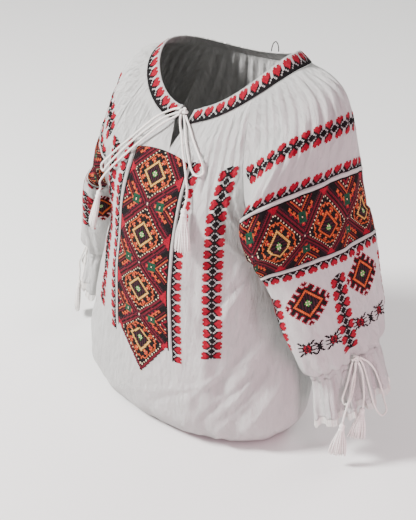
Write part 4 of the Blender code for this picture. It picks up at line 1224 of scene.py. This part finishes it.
# %% Tie routes
NECK_KNOT = (0.0086, -0.0763, -0.0521)
NECK_LOOP_RIGHT = (
    (0.0140, -0.0790, -0.0560), (0.0309, -0.0888, -0.0652), (0.0435, -0.0968, -0.0743),
    (0.0566, -0.1033, -0.0837), (0.0693, -0.1098, -0.0917), (0.0745, -0.1106, -0.1005),
    (0.0760, -0.1126, -0.1084), (0.0713, -0.1172, -0.1122), (0.0615, -0.1161, -0.1109),
    (0.0523, -0.1126, -0.1022), (0.0412, -0.1055, -0.0891), (0.0300, -0.0965, -0.0755),
    (0.0180, -0.0850, -0.0620), (0.0110, -0.0795, -0.0545))
NECK_END_RIGHT = (
    (0.0075, -0.0800, -0.0540), (0.0125, -0.0880, -0.0640), (0.0250, -0.0985, -0.0765),
    (0.0350, -0.1075, -0.0900), (0.0455, -0.1150, -0.1054), (0.0545, -0.1212, -0.1224),
    (0.0609, -0.1261, -0.1384), (0.0635, -0.1320, -0.1525))
NECK_LOOP_LEFT = (
    (0.0050, -0.0760, -0.0500), (-0.0060, -0.0765, -0.0530), (-0.0182, -0.0804, -0.0602),
    (-0.0301, -0.0895, -0.0693), (-0.0415, -0.0966, -0.0820), (-0.0544, -0.1022, -0.0974),
    (-0.0679, -0.1080, -0.1133), (-0.0820, -0.1116, -0.1289), (-0.0956, -0.1141, -0.1450),
    (-0.1126, -0.1096, -0.1628), (-0.1185, -0.1065, -0.1720), (-0.1128, -0.1085, -0.1760),
    (-0.0986, -0.1146, -0.1598), (-0.0806, -0.1169, -0.1388), (-0.0668, -0.1136, -0.1213),
    (-0.0538, -0.1068, -0.1050), (-0.0388, -0.1001, -0.0880), (-0.0264, -0.0931, -0.0752),
    (-0.0140, -0.0866, -0.0639), (0.0000, -0.0795, -0.0565), (0.0050, -0.0780, -0.0530))
NECK_END_LEFT = (
    (0.0060, -0.0810, -0.0545), (0.0015, -0.0835, -0.0590), (-0.0118, -0.0939, -0.0698),
    (-0.0245, -0.1009, -0.0836), (-0.0383, -0.1069, -0.0994), (-0.0531, -0.1127, -0.1171),
    (-0.0708, -0.1169, -0.1382), (-0.0883, -0.1189, -0.1586), (-0.1048, -0.1169, -0.1796),
    (-0.1083, -0.1199, -0.1886), (-0.1080, -0.1185, -0.1985))
CUFF_KNOT = (0.2765, -0.0022, -0.3706)
CUFF_LOOP_A = (
    (0.2730, 0.0006, -0.3740), (0.2702, 0.0011, -0.3830), (0.2680, 0.0010, -0.4010),
    (0.2685, -0.0030, -0.4161), (0.2680, -0.0075, -0.4318), (0.2675, -0.0091, -0.4436),
    (0.2713, -0.0083, -0.4520), (0.2772, -0.0061, -0.4458), (0.2760, 0.0015, -0.4340),
    (0.2725, 0.0095, -0.4200), (0.2690, 0.0130, -0.4060), (0.2698, 0.0098, -0.3900),
    (0.2735, 0.0055, -0.3790))
CUFF_LOOP_B = (
    (0.2770, 0.0066, -0.3730), (0.2790, 0.0176, -0.3820), (0.2790, 0.0302, -0.3936),
    (0.2827, 0.0427, -0.4107), (0.2887, 0.0477, -0.4282), (0.2957, 0.0504, -0.4472),
    (0.3043, 0.0470, -0.4610), (0.3117, 0.0430, -0.4700), (0.3100, 0.0361, -0.4770),
    (0.3030, 0.0315, -0.4700), (0.2972, 0.0254, -0.4512), (0.2910, 0.0237, -0.4323),
    (0.2833, 0.0241, -0.4149), (0.2774, 0.0222, -0.3989), (0.2760, 0.0150, -0.3850),
    (0.2765, 0.0066, -0.3770))
CUFF_END_A = (
    (0.2765, -0.0005, -0.3775), (0.2752, 0.0036, -0.3930), (0.2735, 0.0025, -0.4130),
    (0.2765, -0.0040, -0.4299), (0.2785, -0.0116, -0.4461), (0.2765, -0.0136, -0.4640),
    (0.2760, -0.0156, -0.4770))
CUFF_END_B = (
    (0.2795, 0.0015, -0.3775), (0.2805, 0.0095, -0.3930), (0.2810, 0.0148, -0.4061),
    (0.2853, 0.0140, -0.4234), (0.2889, 0.0130, -0.4414), (0.2890, 0.0130, -0.4566))
HANG_LOOP = (
    (0.0150, 0.1040, -0.0200), (0.0150, 0.1052, -0.0120), (0.0170, 0.1056, -0.0050),
    (0.0210, 0.1058, -0.0015), (0.0250, 0.1056, -0.0050), (0.0270, 0.1052, -0.0120),
    (0.0270, 0.1040, -0.0200))
KNOT_AXES = (0.0065, 0.0036, 0.0055)


def resample(path, step):
    path = np.array(path, float)
    rows = [(a,) + tuple(p) for a, p in enumerate(path)]
    fine = np.array([curve(rows, x) for x in np.linspace(0, len(path) - 1, 12 * len(path))])
    total = measure(fine)[-1]
    return along(fine, np.linspace(0, total, max(3, int(round(total / step)) + 1)))


def clear_of(path, centre, axes, margin):
    fine = resample(path, 0.0004)
    rel = (fine - np.array(centre)) @ axes.T
    out = np.linalg.norm(rel / (np.array(KNOT_AXES) + margin), axis=1) > 1.0
    inside = np.where(~out)[0]
    half = len(fine) // 2
    lo = max([k for k in inside if k < half], default=-1) + 1
    hi = min([k for k in inside if k > half], default=len(fine))
    return fine[lo:hi]


def frame_of(normal, down):
    n = unit(np.array(normal, float))
    d = np.array(down, float)
    d = unit(d - n * np.dot(d, n))
    return np.array((np.cross(n, d), n, d))


# %% [markdown]
# A tube is the same flat grid rolled up: columns go round, rows go along. A two-ply cord
# bulges twice round its section and turns as it runs.

# %% Tubes
def side_frames(path):
    """Turning-free side vectors along a path."""
    t = np.gradient(path, axis=0)
    t /= np.linalg.norm(t, axis=1, keepdims=True)
    a = np.cross(t[0], (0.3, 0.1, 1.0))
    out = []
    for k in range(len(path)):
        a = a - t[k] * np.dot(a, t[k])
        a = a / np.linalg.norm(a)
        out.append(a)
    a = np.array(out)
    return a, np.cross(t, a)


def tube_faces(path, radius, sides, plies=0, pitch=0.007):
    """Ring points of a tube and their outward directions."""
    a, b = side_frames(path)
    d = measure(path)
    th = np.linspace(0, 2 * math.pi, sides + 1)
    r = np.broadcast_to(np.asarray(radius, float), (len(path),))[:, None]
    if plies:
        twist = d[:, None] * 2 * math.pi / pitch
        r = r * (0.74 + 0.26 * np.abs(np.cos((th[None, :] - twist) * plies / 2)))
    out = a[:, None] * np.cos(th)[None, :, None] + b[:, None] * np.sin(th)[None, :, None]
    return path[:, None] + out * r[..., None], out, d


def tube(name, path, radius, sides, mats, plies=0, pitch=0.007):
    q, out, d = tube_faces(path, radius, sides, plies, pitch)
    bm, i, j = flat_grid(*q.shape[:2])
    uv = np.stack(np.broadcast_arrays(np.linspace(0, 1, sides + 1)[None, :] * 0.01, d[:, None]), 2)
    lay(bm, i, j, q, uv, out)
    bmesh.ops.remove_doubles(bm, verts=bm.verts, dist=0.00002)
    bmesh.ops.holes_fill(bm, edges=[e for e in bm.edges if e.is_boundary], sides=0)
    bmesh.ops.recalc_face_normals(bm, faces=bm.faces)
    return piece(name, bm, mats)


def yarn(name, colour, rough, scale):
    m = Made(name, colour, rough, Sheen_Weight=0.2)
    uv = m.coords()
    x, y = m.part(uv, 0), m.part(uv, 1)
    fibre = (x * 2600.0 + y * scale).math("SINE")
    fuzz = m.noise(m.stretch(uv, 900, 500), 1.0, 3.0)
    m.bump(fibre * 0.5 + fuzz, 0.0003, 0.8)
    m.set("Base Color", m.mix(fuzz.step(0.3, 0.7), tuple(c * 0.80 for c in colour),
                              tuple(min(1, c * 1.08) for c in colour)))
    return m.mat


CORD = yarn("cord_yarn", (0.80, 0.77, 0.72), 0.75, 3200.0)
TASSEL = yarn("tassel_yarn", (0.78, 0.74, 0.71), 0.82, 0.0)
BLACK = yarn("black_cord", (0.02, 0.018, 0.02), 0.65, 3800.0)


# %% [markdown]
# A knot is one closed turn of cord wound over itself. A tassel has a bound head and forty
# separate locks of yarn that spread and end unevenly. Locks are meshes and not hair, so that
# the exported part keeps them.

# %% Knots and tassels
def knot(name, centre, axes):
    t = np.linspace(0, 2 * math.pi, 90)
    p = np.stack([np.sin(t) + 2 * np.sin(2 * t), np.cos(t) - 2 * np.cos(2 * t),
                  -np.sin(3 * t)], 1) / np.array((3.0, 3.0, 1.0))
    p = p * (KNOT_AXES[0] - 0.0016, KNOT_AXES[2] - 0.0016, KNOT_AXES[1] - 0.0016)
    path = np.array(centre) + p[:, [0]] * axes[0] + p[:, [1]] * axes[2] + p[:, [2]] * axes[1]
    return tube(name, path, 0.0018, 10, [CORD], 2, 0.006)


def tassel(name, top, axes, length, half_w, half_d, seed):
    side, out, down = axes
    top = np.array(top, float)
    rng = np.random.default_rng(seed)
    bm = bmesh.new()
    layer = bm.loops.layers.uv.new("flat")

    def add(q, d):
        rows, cols = q.shape[:2]
        sub, i, j = flat_grid(rows, cols)
        uv = np.stack(np.broadcast_arrays(np.linspace(0, 0.006, cols)[None, :], d[:, None]), 2)
        centre = q.mean(axis=1, keepdims=True)
        lay(sub, i, j, q, uv, q - centre)
        bmesh.ops.remove_doubles(sub, verts=sub.verts, dist=0.00001)
        bmesh.ops.holes_fill(sub, edges=[e for e in sub.edges if e.is_boundary], sides=0)
        bmesh.ops.recalc_face_normals(sub, faces=sub.faces)
        mesh = bpy.data.meshes.new("part")
        sub.to_mesh(mesh)
        sub.free()
        bm.from_mesh(mesh)
        bpy.data.meshes.remove(mesh)

    th = np.linspace(0, 2 * math.pi, 19)
    d = np.linspace(0, 0.0108, 22)
    r = np.interp(d, (0, 0.0012, 0.003, 0.0052, 0.007, 0.0108),
                  (0.0016, 0.0034, 0.0044, 0.0043, 0.0036, 0.0049))
    r = r + 0.00022 * np.sin(d * 2 * math.pi / 0.0011) * ((d > 0.0055) & (d < 0.0088))
    ring = side * np.cos(th)[:, None] + out * 0.85 * np.sin(th)[:, None]
    add(top + ring[None] * r[:, None, None] + down * d[:, None, None], d)
    for n in range(40):
        a = 2 * math.pi * (n * 0.618034 % 1.0)
        k = math.sqrt((n + 0.5) / 40)
        s0 = np.array((math.cos(a), math.sin(a) * 0.85)) * 0.0036 * k
        reach = length - 0.009 - abs(rng.normal(0, 0.0022)) - 0.0015 * k
        t = np.linspace(0, 1, 9)
        wide = 1 + (half_w * 0.90 / 0.0036 - 1) * (0.42 * smooth(t * 1.6) + 0.58 * t)
        thick = 1 + (half_d * 0.86 / 0.0036 - 1) * smooth(t * 1.4)
        wob = 0.0007 * np.sin(t * 6 + rng.uniform(0, 6)) * t
        path = (top + down * (0.009 + reach * t)[:, None]
                + side * (s0[0] * wide + wob)[:, None]
                + out * (s0[1] * thick + 0.0005 * np.sin(t * 5 + rng.uniform(0, 6)) * t)[:, None])
        rad = np.interp(t, (0, 0.2, 0.8, 1.0), (0.0007, 0.0012, 0.0013, 0.0006))
        q, _, dist = tube_faces(path, rad, 6)
        add(q, dist)
    return piece(name, bm, [TASSEL])


# %% [markdown]
# Build the bows. Every cord starts just outside its knot and, at an end, runs into the head
# of its tassel.

# %% Bows
def other_wrist(path):
    path = np.array(path, float)
    return (path - WRIST_L) * (-1, 1, 1) + WRIST_R + (-0.003, -0.003, 0)


cords, extras = [], []


def run_cord(name, node, path, far_end, with_pieces=()):
    pts = along(path, np.linspace(0, measure(path)[-1], int(measure(path)[-1] / 0.0009) + 1))
    obj = tube(name, pts, CORD_R, 12, [CORD], 2, 0.0075)
    cords.append((obj, node, pts, far_end, with_pieces))
    return obj


neck_axes = frame_of((0.25, -0.70, 0.65), (0.2, -0.3, -1))
extras.append((knot("tie_knot_neck", NECK_KNOT, neck_axes), "neck_knot", "cord"))
for side, path in (("left", NECK_LOOP_LEFT), ("right", NECK_LOOP_RIGHT)):
    run_cord("tie_loop_neck_" + side, "neck_loop_" + side,
             clear_of(path, NECK_KNOT, neck_axes, 0.0006), "object")
for side, path, top, out, down, length in (
        ("left", NECK_END_LEFT, (-0.1090, -0.1205, -0.2030),
         (-0.55, -0.82, 0.15), (-0.30, -0.15, -1), 0.066),
        ("right", NECK_END_RIGHT, (0.0640, -0.1350, -0.1575),
         (0.25, -0.95, 0.20), (0.12, -0.12, -1), 0.064)):
    axes = frame_of(out, down)
    path = tuple(path) + tuple(tuple(np.array(top) + axes[2] * k) for k in (-0.0008, 0.0065))
    t = tassel("tie_tassel_neck_" + side, top, axes, length, 0.0135, 0.0055,
               11 if side == "left" else 12)
    extras.append((t, "neck_tassel_" + side, "tassel"))
    run_cord("tie_end_neck_" + side, "neck_end_" + side,
             clear_of(path, NECK_KNOT, neck_axes, 0.0006), "knot", [t])

for side in ("left", "right"):
    sx = 1 if side == "left" else -1
    move = (lambda p: np.array(p, float)) if side == "left" else other_wrist
    centre = move([CUFF_KNOT])[0]
    axes = frame_of((sx * 0.75, -0.60, -0.10), (0, 0, -1))
    extras.append((knot("tie_knot_cuff_" + side, centre, axes), "cuff_knot_" + side, "cord"))
    for tag, path in (("a", CUFF_LOOP_A), ("b", CUFF_LOOP_B)):
        run_cord(f"tie_loop_{tag}_{side}", f"cuff_loop_{tag}_{side}",
                 clear_of(move(path), centre, axes, 0.0006), "object")
    for k, (tag, path, lean) in enumerate((("a", CUFF_END_A, (sx * -0.10, 0.02, -1)),
                                           ("b", CUFF_END_B, (sx * -0.05, -0.06, -1)))):
        path = move(path)
        top = path[-1] + np.array((0, 0, -0.0040))
        tassel_axes = frame_of((sx * 0.60, -0.78, 0.10), lean)
        path = np.vstack([path, top - tassel_axes[2] * 0.0008, top + tassel_axes[2] * 0.0065])
        t = tassel(f"tie_tassel_{tag}_{side}", top, tassel_axes, 0.056, 0.0145, 0.0055,
                   20 + k + (10 if side == "left" else 0))
        extras.append((t, f"cuff_tassel_{tag}_{side}", "tassel"))
        run_cord(f"tie_end_{tag}_{side}", f"cuff_end_{tag}_{side}",
                 clear_of(path, centre, axes, 0.0006), "knot", [t])
loop_pts = resample(HANG_LOOP, 0.0009)
hang = tube("hanging_loop_cord", loop_pts, 0.0009, 10, [BLACK], 2, 0.004)
print("cords", len(cords), "pieces on them", len(extras))

# %% [markdown]
# What each piece stands for and how it moves. The blouse is one body.

# %% Declarations
stands = [(front_piece, "front_panel", "cotton"), (back_piece, "back_panel", "cotton"),
          (left_piece, "sleeve_left", "cotton"), (right_piece, "sleeve_right", "cotton"),
          (neckband, "neckband", "band")]
for tag, (casing, frill, lace) in cuffs.items():
    stands += [(casing, "cuff_casing_" + tag, "cotton"), (frill, "frill_" + tag, "cotton"),
               (lace, "lace_" + tag, "lace")]
stands += extras
stands += [(o, node, "cord") for o, node, _, _, _ in cords]
stands.append((hang, "hanging_loop", "black_cord"))
for obj, node, kind in stands:
    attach(obj, "root")
    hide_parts(node)
for parts in list(on_cloth.values()) + [[band_stitches]]:
    for o in parts:
        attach(o, "root")

floor_bm = bmesh.new()
bmesh.ops.create_grid(floor_bm, x_segments=8, y_segments=8, size=6.0)
for v in floor_bm.verts:
    v.co.z = cad_box[0][2] - 0.001
floor_m = Made("studio_floor", (0.82, 0.81, 0.80), 0.9)
floor_m.set("Base Color", floor_m.mix(floor_m.noise(floor_m.coords("Object"), 1.3, 2.0),
                                      (0.80, 0.79, 0.78), (0.84, 0.83, 0.82)))
floor = piece("floor", floor_bm, [floor_m.mat], False)

# %% Finish
bpy.context.view_layer.update()
